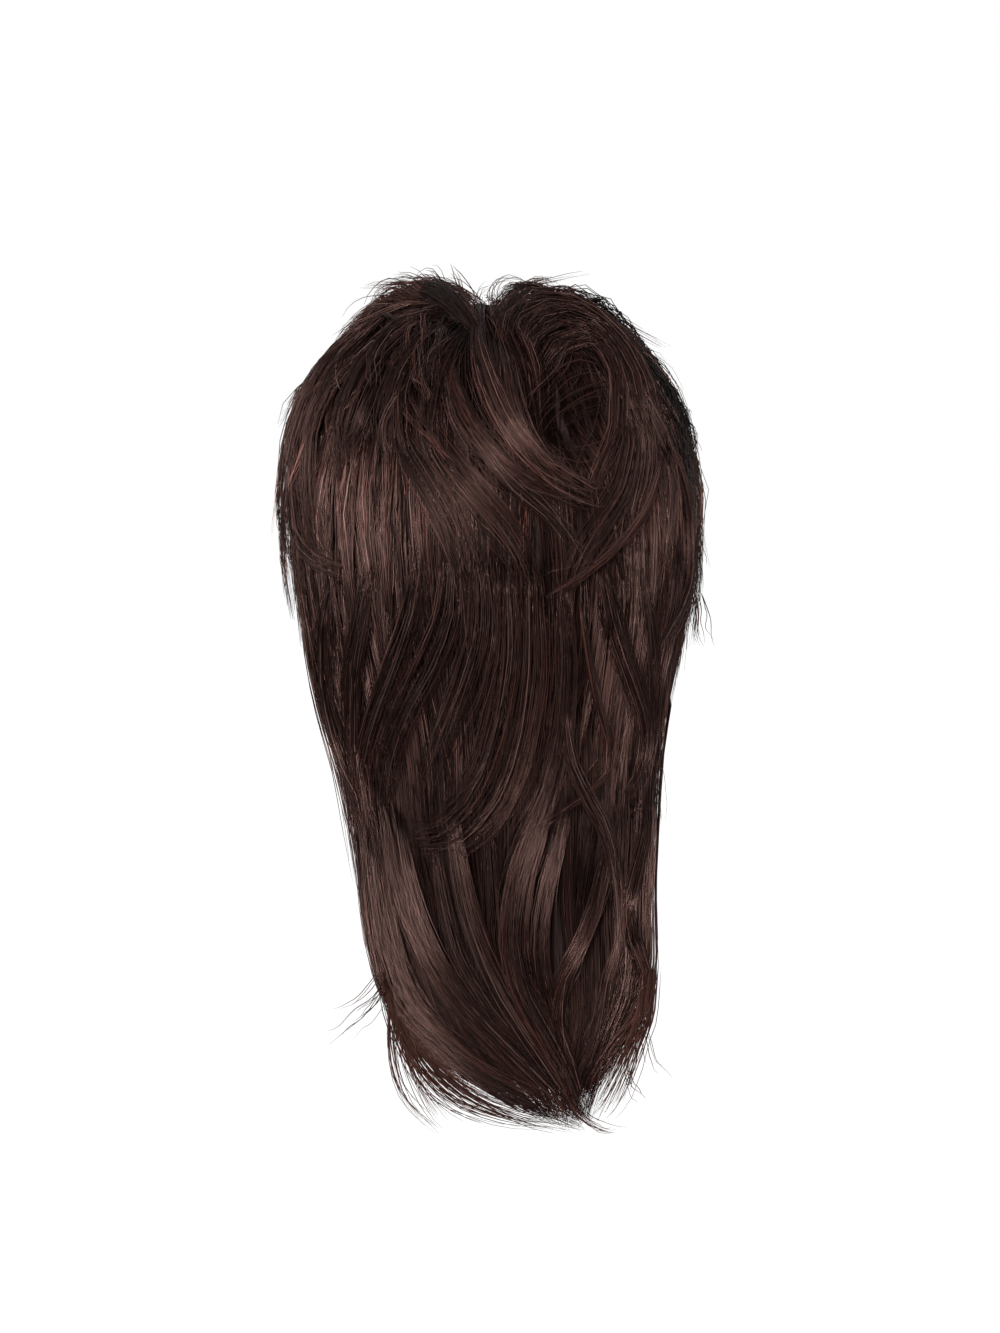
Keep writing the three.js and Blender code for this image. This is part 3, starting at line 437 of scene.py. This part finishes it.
def tubes(points, radius, tone, shade):
    """Closed three-sided tubes along rows of points, pointed at both ends, and a colour for each vertex.

    The colour's red is the strand's own tone, green runs from root to tip, and blue is the painted shade and
    sheen, times the lock's own tone for the laid locks."""
    count, n, _ = points.shape
    along = unit(np.gradient(points, axis=1))
    side = unit(np.cross(along, np.array([0.31, 0.17, 0.93])))
    over = np.cross(along, side)
    spin = rng.uniform(0, 2 * math.pi, (count, 1, 1))
    t = np.linspace(0, 1, n)
    size = radius * (np.minimum(0.1 + t * 6, 1) * (1 - 0.8 * t**3))[None, :, None]
    size = size * rng.uniform(0.75, 1.3, (count, 1, 1))
    rings = []
    for k in range(3):
        angle = spin + 2 * math.pi * k / 3
        rings.append(points + (np.cos(angle) * side + np.sin(angle) * over) * size)
    verts = np.stack(rings, 2).reshape(-1, 3)
    base = (np.arange(count)[:, None] * n + np.arange(n - 1)[None]).ravel() * 3
    faces = []
    for k in range(3):
        a, b = base + k, base + (k + 1) % 3
        faces += [np.stack([a, b, b + 3], 1), np.stack([a, b + 3, a + 3], 1)]
    first = np.arange(count) * n * 3
    last = first + (n - 1) * 3
    faces += [np.stack([first, first + 2, first + 1], 1), np.stack([last, last + 1, last + 2], 1)]
    tones = np.ones((count, n, 3, 4))
    tones[..., 0] = tone[:, None]
    tones[..., 1] = t[None, :, None]
    tones[..., 2] = np.broadcast_to(shade, (count, n))[..., None]
    return verts, np.concatenate(faces), tones.reshape(-1, 4)


def wall(inner, outer):
    """A closed wall between two grids of points."""
    rows, columns = inner.shape[:2]
    verts = np.concatenate([inner.reshape(-1, 3), outer.reshape(-1, 3)])
    index = np.arange(rows * columns).reshape(rows, columns)
    count = rows * columns
    faces = []

    def quads(a, b, c, d):
        faces.append(np.stack([x.ravel() for x in (a, b, c, d)], 1))

    quads(index[:-1, :-1], index[1:, :-1], index[1:, 1:], index[:-1, 1:])
    o = index + count
    quads(o[:-1, :-1], o[:-1, 1:], o[1:, 1:], o[1:, :-1])
    quads(index[0, :-1], index[0, 1:], o[0, 1:], o[0, :-1])
    quads(index[-1, 1:], index[-1, :-1], o[-1, :-1], o[-1, 1:])
    quads(index[1:, 0], index[:-1, 0], o[:-1, 0], o[1:, 0])
    quads(index[:-1, -1], index[1:, -1], o[1:, -1], o[:-1, -1])
    return verts, np.concatenate(faces)


# Hair


def narrowed(turn, down):
    """Turns drawn in towards the point that the longest hair ends in."""
    behind = np.clip((110 - np.abs(turn)) / 30, 0, 1)
    return turn * mix(1, read(DRAW_IN, down), behind) + read(DRAW_ASIDE, down)


def lock_strands(layer):
    """Every strand of a layer, lock by lock."""
    locks, strands, n = layer["locks"], layer["strands"], layer["points"]
    t = np.linspace(0, 1, n)
    share = (np.arange(locks) + rng.uniform(0, 1, locks)) / locks
    share = share - 0.05 * np.sin(2 * math.pi * share)
    order = rng.permutation(locks)
    rows = (np.arange(locks) + rng.uniform(0, 1, locks)) / locks
    rooted = mix(layer["root"][0], layer["root"][1], rows[order] ** 0.8)
    lie = mix(layer["lie"][0], layer["lie"][1], rng.uniform(0, 1, locks))
    end = mix(layer["reach"][0], layer["reach"][1], share) + layer["middle"] * np.sin(share * math.pi)
    end = np.minimum(end + layer["ragged"] * (rng.uniform(0, 1, locks) - 0.72) * (0.6 + 0.4 * lie), 1.995)
    wide = layer["wide"] * rng.uniform(0.6, 1.3, locks)
    wave = layer["wave"] * rng.uniform(0.3, 1, locks) * np.sign(rng.uniform(-0.6, 1, locks))
    wave_phase, wave_pace = rng.uniform(0, 1, locks), rng.uniform(0.6, 1.2, locks)
    billow = layer["billow"] * rng.uniform(0.2, 1, locks)
    billow_phase = rng.uniform(0, 1, locks)
    flick = layer["flick"] * rng.uniform(-0.3, 1, locks) ** 3
    lean = rng.normal(0, 2.0, locks)
    tone = rng.uniform(0, 1, locks)
    # how far each lock shifts the painted sheen band up or down
    painted_sheen_shift = rng.normal(0, 0.035, locks)

    def each(x):
        return np.repeat(x, strands)[:, None]

    # u is how far across its lock a strand lies, v how near the lock's outside, and T runs to its tip
    m = locks * strands
    u = np.clip(rng.normal(0, 0.55, (m, 1)), -1.5, 1.5)
    v = rng.uniform(0, 1, (m, 1))
    length = 1 - layer["short"] * rng.uniform(0, 1, (m, 1)) ** 1.6
    T = t[None] * length
    turn = mix(mix(*layer["roots"], each(share)), mix(*layer["tips"], each(share)), T) + each(lean) * T
    down = mix(each(rooted), each(end), T)
    turn = narrowed(turn, down)
    low = depth_at(layer["under"], turn, down) + (FIT_GAP if layer["under"] == "cap" else 0)
    gap = 0 if layer["over"] == "surface" else LAYER_GAP
    high = np.maximum(depth_at(layer["over"], turn, down) - gap, low + 1.5)
    gather = 1 - layer["gather"] * T**1.6
    rise = np.clip(T / 0.16, 0, 1) ** 0.7
    out = mix(low * 0.6, mix(low, high, each(lie)), rise)
    out = out - layer["thick"] * ((1 - v) * gather * 0.7 + 0.3 * u**2)
    out = out + each(billow) * np.sin(2 * math.pi * (1.3 * T + each(billow_phase))) * T + each(flick) * T**4
    edge = 1 - np.abs(np.sin(np.radians(turn))) ** 6
    aside = u * each(wide) / 2 * gather
    aside = aside + each(wave) * edge * np.sin(2 * math.pi * (each(wave_pace) * T + each(wave_phase))) * T
    loose = np.where(rng.uniform(0, 1, (m, 1)) < 0.08, 3.0, 1.0)
    aside = aside + layer["frizz"] * loose * wander(m, t) * T
    out = np.maximum(out + 0.6 * layer["frizz"] * loose * wander(m, t) * T, 0.6)
    inside = np.clip(1 - (turn / 52) ** 4, 0, 1)
    inside = inside * np.clip((down - 1.55) / 0.1, 0, 1) * np.clip((1.97 - down) / 0.12, 0, 1)
    out = out - layer.get("recess", 0) * inside
    if "crimp" in layer:
        aside = aside + layer["crimp"] * rng.normal(0, 1, (m, n))
        out = out + layer["crimp"] * rng.normal(0, 1, (m, n))
    own = np.clip(rng.normal(0.5, 0.28, m) + 0.5 * (np.repeat(tone, strands) - 0.5), 0, 1)
    dent = dented(turn, down)
    # painted sheen and shade from the table, shifted lock by lock, darker deeper in the lock, and painted
    # shade in the hollow on the crown
    shade = read(PAINTED_SHEEN_AND_SHADE, down + each(painted_sheen_shift) + rng.normal(0, 0.012, (m, 1)))
    shade = shade * mix(0.4, 1, v) * (1 - 0.85 * dent)
    return place(turn, down, out, aside), own[:, None], shade, dent.max(axis=1) > 0.25


def choppy_strands(locks, strands, n, turns, downs):
    """Short locks that stand a little off the crown every way, as cut hair does."""
    t = np.linspace(0, 1, n)
    m = locks * strands

    def each(x):
        return np.repeat(x, strands)[:, None]

    start = rng.uniform(*turns, locks)
    rooted = rng.uniform(*downs, locks)
    lean = rng.normal(-2, 7, locks) / np.maximum(rooted, 0.35)
    bend = rng.normal(4, 16, locks)
    long = rng.uniform(0.16, 0.4, locks)
    lift = rng.uniform(1, 5, locks)
    flick = rng.uniform(-3, 8, locks)
    tone = rng.uniform(0.1, 0.9, locks)
    T = t[None] * (1 - 0.4 * rng.uniform(0, 1, (m, 1)))
    turn = each(start) + np.clip(each(lean) * T + each(bend) * T**2, -24, 30)
    down = each(rooted) + each(long) * T
    u = np.clip(rng.normal(0, 0.5, (m, 1)), -1.4, 1.4)
    v = rng.uniform(0, 1, (m, 1))
    ground = depth_at("surface", turn, down)
    out = ground - 4 + (4 + each(lift)) * np.clip(T * 3, 0, 1) + each(flick) * T**3
    out = out - 3 * (1 - v) + 0.5 * wander(m, t) * T
    aside = u * 5 * (1 - 0.6 * T) + 0.9 * wander(m, t) * T
    own = np.clip(rng.normal(0.38 + 0.3 * np.repeat(tone, strands), 0.24), 0, 1)[:, None]
    # painted sheen and shade from the table, darker deeper in the lock and lighter towards the tips
    return place(turn, down, out, aside), own, read(PAINTED_SHEEN_AND_SHADE, down) * mix(0.5, 1.6, v) * (0.8 + 1.2 * T)


def seen(x, y):
    """The turn and down of the hair's back surface at a pixel of the photograph."""
    aside, height = (CROWN_X - x) * PIXEL, (CROWN_Y - y) * PIXEL
    share = np.clip((height + HEAD_RISE) / HAIR["rise"], 0, 1)
    angle = np.arccos(share ** (HAIR["power"] / 2))
    at = np.clip((-HEAD_RISE - height) / HANG, 0, 1)
    dome = height > -HEAD_RISE
    half = HAIR["half"] * np.where(dome, np.sin(angle) ** (2 / HAIR["power"]), section("hairWidth", at))
    shift = np.where(dome, 0, section("shift", at) * HAIR["half"])
    turn = np.degrees(np.arcsin(np.clip((aside - shift) / np.maximum(half, 1), -0.999, 0.999)))
    return turn, np.where(dome, angle / (math.pi / 2), 1 + at)


def along_route(rows, T):
    """Each column of a route at T, by its length in pixels."""
    rows = np.array(rows, float)
    run = np.concatenate([[0], np.cumsum(np.hypot(*np.diff(rows[:, :2], axis=0).T))])
    run /= run[-1]
    return [read(np.stack([run, rows[:, k]], 1), T) for k in (0, 1, 2)]


def laid_strands(locks, n, dim):
    """The strands of locks laid over the hair's surface along routes in pixels, with painted light and shade
    at their two ends.
    """
    t = np.linspace(0, 1, n)
    groups, tones, shades = [], [], []
    for wide, thick, count, tone, rows in locks:
        u = rng.uniform(-0.85, 0.85, (count, 1)) + rng.normal(0, 0.14, (count, 1))
        v = rng.uniform(0, 1, (count, 1))
        start = 0.12 * rng.uniform(0, 1, (count, 1)) ** 2
        T = start + t[None] * (1 + 0.06 - 0.4 * rng.uniform(0, 1, (count, 1)) ** 1.5 - start)
        x, y, lift = along_route(rows, T)
        turn, down = seen(x, y)
        ground = surface(HAIR, turn, down)
        way = unit(ground - surface(HEAD, turn, down, CAP_WALL))
        across = unit(np.cross(np.gradient(ground, axis=1), way))
        fan = read([(0, 0.6), (0.35, 1), (0.75, 0.95), (1, 0.7)], T)
        loose = np.where(rng.uniform(0, 1, (count, 1)) < 0.12, 3.5, 1.0)
        aside = u * wide * 0.6 * fan + 0.8 * loose * wander(count, t) * T
        out = lift - thick * ((1 - v) * 0.7 + 0.4 * u**2) * fan + 0.4 * loose * wander(count, t) * T
        groups.append(ground + across * aside[..., None] + way * out[..., None])
        bright = 0.35 * (rng.uniform(0, 1, (count, 1)) < 0.1)
        tones.append(np.clip(rng.normal(0.25 + 0.35 * tone, 0.26, (count, 1)) + bright, 0, 1))
        # painted shade and light at the lock's ends and painted shade deeper in the lock, times the lock's
        # own tone
        ends = 1 - dim[0] * (1 - T) ** 2 - dim[1] * T**2
        shades.append(mix(0.5, 1, v) * mix(0.5, 1.25, tone) * ends)
    return np.concatenate(groups), np.concatenate(tones), np.concatenate(shades)


def loose_strands(rows, tone, n=12):
    """Loose strands along routes that are free of the hair's surface, each with its own width."""
    t = np.linspace(0, 1, n)
    groups, sizes = [], []
    for count, scatter, size, route in rows:
        T = t[None] * (1 - 0.4 * rng.uniform(0, 1, (count, 1)) ** 1.5)
        x, y, behind = along_route(route, T)
        points = np.stack([(CROWN_X - x) * PIXEL, behind, (CROWN_Y - y) * PIXEL], -1)
        points = points + rng.normal(0, 1, (count, 1, 3)) * scatter * (0.5 + 0.5 * T[..., None])
        for k in range(3):
            points[..., k] += 0.8 * wander(count, t) * T
        groups.append(points)
        sizes.append(np.full((count, 1, 1), size))
    tones = np.clip(rng.normal(tone, 0.2, (sum(len(g) for g in groups), 1)), 0, 1)
    return np.concatenate(groups), np.concatenate(sizes), tones


def backing(layer, columns=60, rows=20):
    """The close-packed hair under a layer's strands, which thins out towards their tips."""
    past = 0 if layer["over"] == "surface" else 0.03
    share, t = np.meshgrid(np.linspace(-past, 1 + past, columns), np.linspace(0, 1, rows))
    ragged = 0.05 * np.sin(share * 61 + 1) + 0.04 * np.sin(share * 137)
    end = mix(*layer["reach"], share) + layer["middle"] * np.sin(share * math.pi) + ragged * 0.5
    end = end - {"cap": 0.03, "ear": 0.12}.get(layer["under"], 0.24)
    root = max(layer["root"][0], 0.001)
    down = mix(root, np.minimum(end, 1.975), t)
    turn = narrowed(mix(mix(*layer["roots"], share), mix(*layer["tips"], share), t), down)
    low = depth_at(layer["under"], turn, down) + 1
    high = np.maximum(depth_at(layer["over"], turn, down) - 2.5, low + 1)
    relief = 0.5 + 0.5 * np.sin(share * 2 * math.pi * layer["locks"] / 3 + 2 * np.sin(t * 5 + share * 9))
    zero = np.zeros_like(turn)
    side = np.clip(np.abs(2 * share - 1), 0, 1) ** 8
    full = 0.45 + 0.2 * relief
    if layer["over"] == "surface":
        full = full * np.clip(14 * share * (1 - share), 0.1, 1)
    else:
        full = mix(full, 0.85, side)
    if layer["over"] == "nape":
        high = mix(high, depth_at("surface", turn, down) - 2, side * np.clip((down - 1) / 0.15, 0, 1))
    thick = np.maximum((high - low) * full * (1 - 0.92 * t ** (4 if layer["over"] == "nape" else 2)), 0.8)
    if layer["under"] != "cap":
        low = np.maximum(low - 5 * t**4, 0.8)
    return wall(place(turn, down, low, zero), place(turn, down, low + thick, zero))


# Materials


def material(name):
    m = bpy.data.materials.new(name)
    m.use_nodes = True
    nodes, links = m.node_tree.nodes, m.node_tree.links
    return m, nodes, links, nodes["Principled BSDF"]


def hair_material(name, ramp, roughness, tint, glint, root_shade=0.6):
    """Fibres whose colour differs from strand to strand, with painted shade at the roots."""
    m, nodes, links, bsdf = material(name)
    attribute = nodes.new("ShaderNodeAttribute")
    attribute.attribute_name = "strand"
    split = nodes.new("ShaderNodeSeparateColor")
    links.new(attribute.outputs["Color"], split.inputs[0])
    colours = nodes.new("ShaderNodeValToRGB")
    while len(colours.color_ramp.elements) < len(ramp):
        colours.color_ramp.elements.new(0.5)
    for element, (at, colour) in zip(colours.color_ramp.elements, ramp):
        element.position = at
        element.color = (*colour, 1)
    links.new(split.outputs[0], colours.inputs[0])
    # painted shade: darker at the roots, where strands lie under other hair, and a little lighter at the
    # tips
    root = nodes.new("ShaderNodeMapRange")
    root.inputs["To Min"].default_value = root_shade
    root.inputs["To Max"].default_value = 1.15
    links.new(split.outputs[1], root.inputs["Value"])
    # times the brightness in the strand colour's blue, mostly painted shade and sheen
    shade = nodes.new("ShaderNodeMath")
    shade.operation = "MULTIPLY"
    links.new(root.outputs[0], shade.inputs[0])
    links.new(split.outputs[2], shade.inputs[1])
    multiply = nodes.new("ShaderNodeVectorMath")
    multiply.operation = "SCALE"
    links.new(colours.outputs[0], multiply.inputs[0])
    links.new(shade.outputs[0], multiply.inputs["Scale"])
    links.new(multiply.outputs[0], bsdf.inputs["Base Color"])
    bsdf.inputs["Roughness"].default_value = roughness
    bsdf.inputs["Specular IOR Level"].default_value = glint
    bsdf.inputs["Specular Tint"].default_value = (*tint, 1)
    return m


def backing_material(name, dark, light):
    """Close-packed hair seen deep between the locks, with fine streaks along it."""
    m, nodes, links, bsdf = material(name)
    place_at = nodes.new("ShaderNodeTexCoord")
    stretch = nodes.new("ShaderNodeMapping")
    stretch.inputs["Scale"].default_value = (900, 900, 14)
    noise = nodes.new("ShaderNodeTexNoise")
    noise.inputs["Scale"].default_value = 1
    noise.inputs["Detail"].default_value = 3
    links.new(place_at.outputs["Object"], stretch.inputs[0])
    links.new(stretch.outputs[0], noise.inputs["Vector"])
    colours = nodes.new("ShaderNodeValToRGB")
    colours.color_ramp.elements[0].position = 0.35
    colours.color_ramp.elements[0].color = (*dark, 1)
    colours.color_ramp.elements[1].position = 0.7
    colours.color_ramp.elements[1].color = (*light, 1)
    links.new(noise.outputs["Fac"], colours.inputs[0])
    links.new(colours.outputs[0], bsdf.inputs["Base Color"])
    bump = nodes.new("ShaderNodeBump")
    bump.inputs["Strength"].default_value = 0.6
    bump.inputs["Distance"].default_value = 0.0006
    links.new(noise.outputs["Fac"], bump.inputs["Height"])
    links.new(bump.outputs[0], bsdf.inputs["Normal"])
    bsdf.inputs["Roughness"].default_value = 0.7
    bsdf.inputs["Specular IOR Level"].default_value = 0.1
    return m


BROWN = [(0, (0.003, 0.0019, 0.0017)), (0.3, (0.01, 0.0052, 0.0045)), (0.52, (0.022, 0.0115, 0.01)),
         (0.62, (0.034, 0.0115, 0.009)),
         (0.76, (0.046, 0.025, 0.0215)), (0.88, (0.085, 0.026, 0.019)), (1, (0.135, 0.078, 0.067))]
WARM = [(0, (0.012, 0.005, 0.004)), (0.5, (0.042, 0.0155, 0.0115)), (1, (0.12, 0.045, 0.034))]
# Nearly black teased hair: partly its own darker colour, partly painted shade for the shadow it lies in
BLACK = [(0, (0.007, 0.006, 0.0056)), (0.5, (0.013, 0.0105, 0.01)), (0.9, (0.03, 0.021, 0.018)),
         (1, (0.06, 0.032, 0.026))]
brown = hair_material("hair_fibres", BROWN, 0.27, (1.0, 0.57, 0.49), 0.55)
soft = hair_material("crown_fibres", BROWN, 0.36, (1.0, 0.57, 0.49), 0.5)
deep = hair_material("deep_fibres", BROWN, 0.36, (1.0, 0.57, 0.49), 0.3)
shadow = hair_material("hollow_fibres", BROWN, 0.6, (1.0, 0.57, 0.49), 0.08)
# the wisps' fibres, with deeper painted shade at their roots, where they come out of the hair
warm = hair_material("wisp_fibres", WARM, 0.4, (1.0, 0.5, 0.4), 0.3, 0.25)
black = hair_material("dark_fibres", BLACK, 0.5, (0.9, 0.8, 0.78), 0.15)
under = backing_material("hair_backing", (0.006, 0.0033, 0.0028), (0.03, 0.0145, 0.012))
# the teased hair's backing: partly its own dark colour, partly painted shade
under_black = backing_material("dark_backing", (0.002, 0.0015, 0.0013), (0.006, 0.0045, 0.004))

# Pieces


def piece(obj, slot, *nodes):
    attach(obj, "root")
    if nodes:
        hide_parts(*nodes)
    return obj


for layer in LAYERS:
    name = layer["name"]
    dark = name == "teased_hair"
    slot = "dark_hair" if dark else "hair"
    node = "nape_hair" if name.startswith("nape") else name
    points, tone, shade, hollow = lock_strands(layer)
    # strands through the hollow, whose colour carries painted shade, go in a piece of their own with hardly
    # any gloss
    if hollow.any():
        verts, faces, tones = tubes(points[hollow], STRAND, tone[hollow], shade[hollow])
        piece(new_object(name + "_hollow", verts, faces, shadow, tones=tones), slot, node)
        points, tone, shade = points[~hollow], tone[~hollow], shade[~hollow]
    verts, faces, tones = tubes(points, STRAND, tone, shade)
    fibres = black if dark else deep if layer["under"] == "cap" else brown
    piece(new_object(name + "_strands", verts, faces, fibres, tones=tones), slot, node)
    if name != node:
        continue
    verts, faces = backing(layer)
    piece(new_object(name + "_backing", verts, faces, under_black if dark else under), slot, name)

# dim is the painted shade at the locks' roots and tips, where a minus paints light
for name, locks, count, dim, fibres, nodes in (
    ("crown_locks", CROWN_LOCKS, 10, (0, 0), soft, ["swept_hair"]),
    ("back_locks", BACK_LOCKS, 11, (0, 0.4), brown, []),
    ("long_locks", LONG_LOCKS, 12, (0.9, -0.25), brown, []),
):
    points, tone, shade = laid_strands(locks, count, dim)
    verts, faces, tones = tubes(points, LAID_STRAND, tone, shade)
    piece(new_object(name, verts, faces, fibres, tones=tones), "hair", *nodes)
for name, locks, turns, downs in (
    ("choppy_locks", 104, (14, 235), (0.16, 0.74)),
    ("top_locks", 36, (100, 215), (0.03, 0.24)),
):
    points, tone, shade = choppy_strands(locks, 10, 8, turns, downs)
    verts, faces, tones = tubes(points, LAID_STRAND, tone, shade)
    piece(new_object(name, verts, faces, brown, tones=tones), "hair")
for name, rows, fibres, light in (("tufts", TUFTS, soft, 0.7), ("wisps", WISPS, warm, 0.5)):
    points, size, tone = loose_strands(rows, light)
    verts, faces, tones = tubes(points, size, tone, 1.0)
    piece(new_object(name, verts, faces, fibres, tones=tones), "hair")

# The cap: fine net with rows of hair sewn to it
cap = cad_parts["cap"]
net, nodes, links, bsdf = material("cap_net")
coordinates = nodes.new("ShaderNodeTexCoord")
cells = nodes.new("ShaderNodeTexVoronoi")
cells.feature = "DISTANCE_TO_EDGE"
cells.inputs["Scale"].default_value = 300
links.new(coordinates.outputs["Object"], cells.inputs["Vector"])
rows = nodes.new("ShaderNodeTexWave")
rows.bands_direction = "Z"
rows.inputs["Scale"].default_value = 24
rows.inputs["Distortion"].default_value = 0.6
links.new(coordinates.outputs["Object"], rows.inputs["Vector"])
sewn = nodes.new("ShaderNodeValToRGB")
sewn.color_ramp.elements[0].position = 0.78
sewn.color_ramp.elements[0].color = (0, 0, 0, 1)
sewn.color_ramp.elements[1].position = 0.86
links.new(rows.outputs["Fac"], sewn.inputs[0])
threads = nodes.new("ShaderNodeValToRGB")
threads.color_ramp.elements[0].position = 0.05
threads.color_ramp.elements[0].color = (0.02, 0.014, 0.012, 1)
threads.color_ramp.elements[1].position = 0.2
threads.color_ramp.elements[1].color = (0.003, 0.0024, 0.002, 1)
links.new(cells.outputs["Distance"], threads.inputs[0])
colour = nodes.new("ShaderNodeMix")
colour.data_type = "RGBA"
links.new(sewn.outputs[0], colour.inputs["Factor"])
links.new(threads.outputs[0], colour.inputs["A"])
colour.inputs["B"].default_value = (0.03, 0.0145, 0.012, 1)
links.new(colour.outputs["Result"], bsdf.inputs["Base Color"])
relief = nodes.new("ShaderNodeMath")
relief.operation = "SUBTRACT"
links.new(sewn.outputs[0], relief.inputs[0])
links.new(cells.outputs["Distance"], relief.inputs[1])
bump = nodes.new("ShaderNodeBump")
bump.inputs["Strength"].default_value = 0.8
bump.inputs["Distance"].default_value = 0.0008
links.new(relief.outputs[0], bump.inputs["Height"])
links.new(bump.outputs[0], bsdf.inputs["Normal"])
bsdf.inputs["Roughness"].default_value = 0.8
bsdf.inputs["Specular IOR Level"].default_value = 0.12
cap.data.materials.clear()
cap.data.materials.append(net)

# Stage


def seen_glow(nodes, links, strength, lit, shown):
    """A glow of one strength for what it lights and another for what shows behind the object."""
    path = nodes.new("ShaderNodeLightPath")
    level = nodes.new("ShaderNodeMapRange")
    level.inputs["To Min"].default_value = lit
    level.inputs["To Max"].default_value = shown
    links.new(path.outputs["Is Camera Ray"], level.inputs["Value"])
    links.new(level.outputs[0], strength)


FLOOR_HALF, FLOOR_HEIGHT = 30, -0.8  # metres
floor_mesh = bpy.data.meshes.new("floor")
corners = [(x * FLOOR_HALF, y * FLOOR_HALF, FLOOR_HEIGHT) for x, y in ((-1, -1), (1, -1), (1, 1), (-1, 1))]
floor_mesh.from_pydata(corners, [], [(0, 1, 2, 3)])
floor = bpy.data.objects.new("floor", floor_mesh)
bpy.context.scene.collection.objects.link(floor)
pale, nodes, links, bsdf = material("pale_floor")
bsdf.inputs["Base Color"].default_value = (0.12, 0.12, 0.12, 1)
bsdf.inputs["Roughness"].default_value = 0.9
bsdf.inputs["Emission Color"].default_value = (1, 1, 1, 1)
seen_glow(nodes, links, bsdf.inputs["Emission Strength"], 0.05, 0.96)
floor_mesh.materials.append(pale)

world = bpy.data.worlds.new("studio")
bpy.context.scene.world = world
world.use_nodes = True
nodes, links = world.node_tree.nodes, world.node_tree.links
nodes["Background"].inputs[0].default_value = (1, 1, 1, 1)
seen_glow(nodes, links, nodes["Background"].inputs[1], 0.31, 1.0)
bpy.context.scene.view_settings.view_transform = "Standard"

TARGET = Vector((-0.0052, 0.06, -0.179))  # what the photograph is centred on, in metres


def towards(turn, lift):
    """The direction from the object at degrees from the back and degrees up."""
    a, e = math.radians(turn), math.radians(lift)
    return Vector((math.sin(a) * math.cos(e), math.cos(a) * math.cos(e), math.sin(e)))


def softbox(name, turn, lift, distance, size, power):
    data = bpy.data.lights.new(name, "AREA")
    data.shape = "RECTANGLE"
    data.size, data.size_y = size
    data.energy = power
    light = bpy.data.objects.new(name, data)
    way = towards(turn, lift)
    light.location = TARGET + way * distance
    light.rotation_euler = (-way).to_track_quat("-Z", "Y").to_euler()
    bpy.context.scene.collection.objects.link(light)


def sun(name, turn, lift, size, strength):
    data = bpy.data.lights.new(name, "SUN")
    data.angle = math.radians(size)
    data.energy = strength
    light = bpy.data.objects.new(name, data)
    way = towards(turn, lift)
    light.rotation_euler = (-way).to_track_quat("-Z", "Y").to_euler()
    bpy.context.scene.collection.objects.link(light)


sun("key", 6, 9, 12, 4.0)
softbox("front", 180, -6, 1.7, (1.0, 0.9), 22)
softbox("left", 88, 12, 2.4, (0.8, 1.4), 16)
softbox("right", -88, 12, 2.4, (0.8, 1.4), 16)

# Camera, at the photograph's viewing angle
data = bpy.data.cameras.new("camera")
camera = bpy.data.objects.new("camera", data)
bpy.context.scene.collection.objects.link(camera)
bpy.context.scene.camera = camera
DISTANCE, TILT = 2.2, 2  # metres and degrees
SENSOR, PHOTO_HEIGHT = 36, 1333  # millimetres and pixels
camera.location = TARGET + towards(0, TILT) * DISTANCE
camera.rotation_euler = (TARGET - camera.location).to_track_quat("-Z", "Y").to_euler()
data.sensor_width = SENSOR
data.lens = DISTANCE * SENSOR / (PHOTO_HEIGHT * PIXEL / 1000)
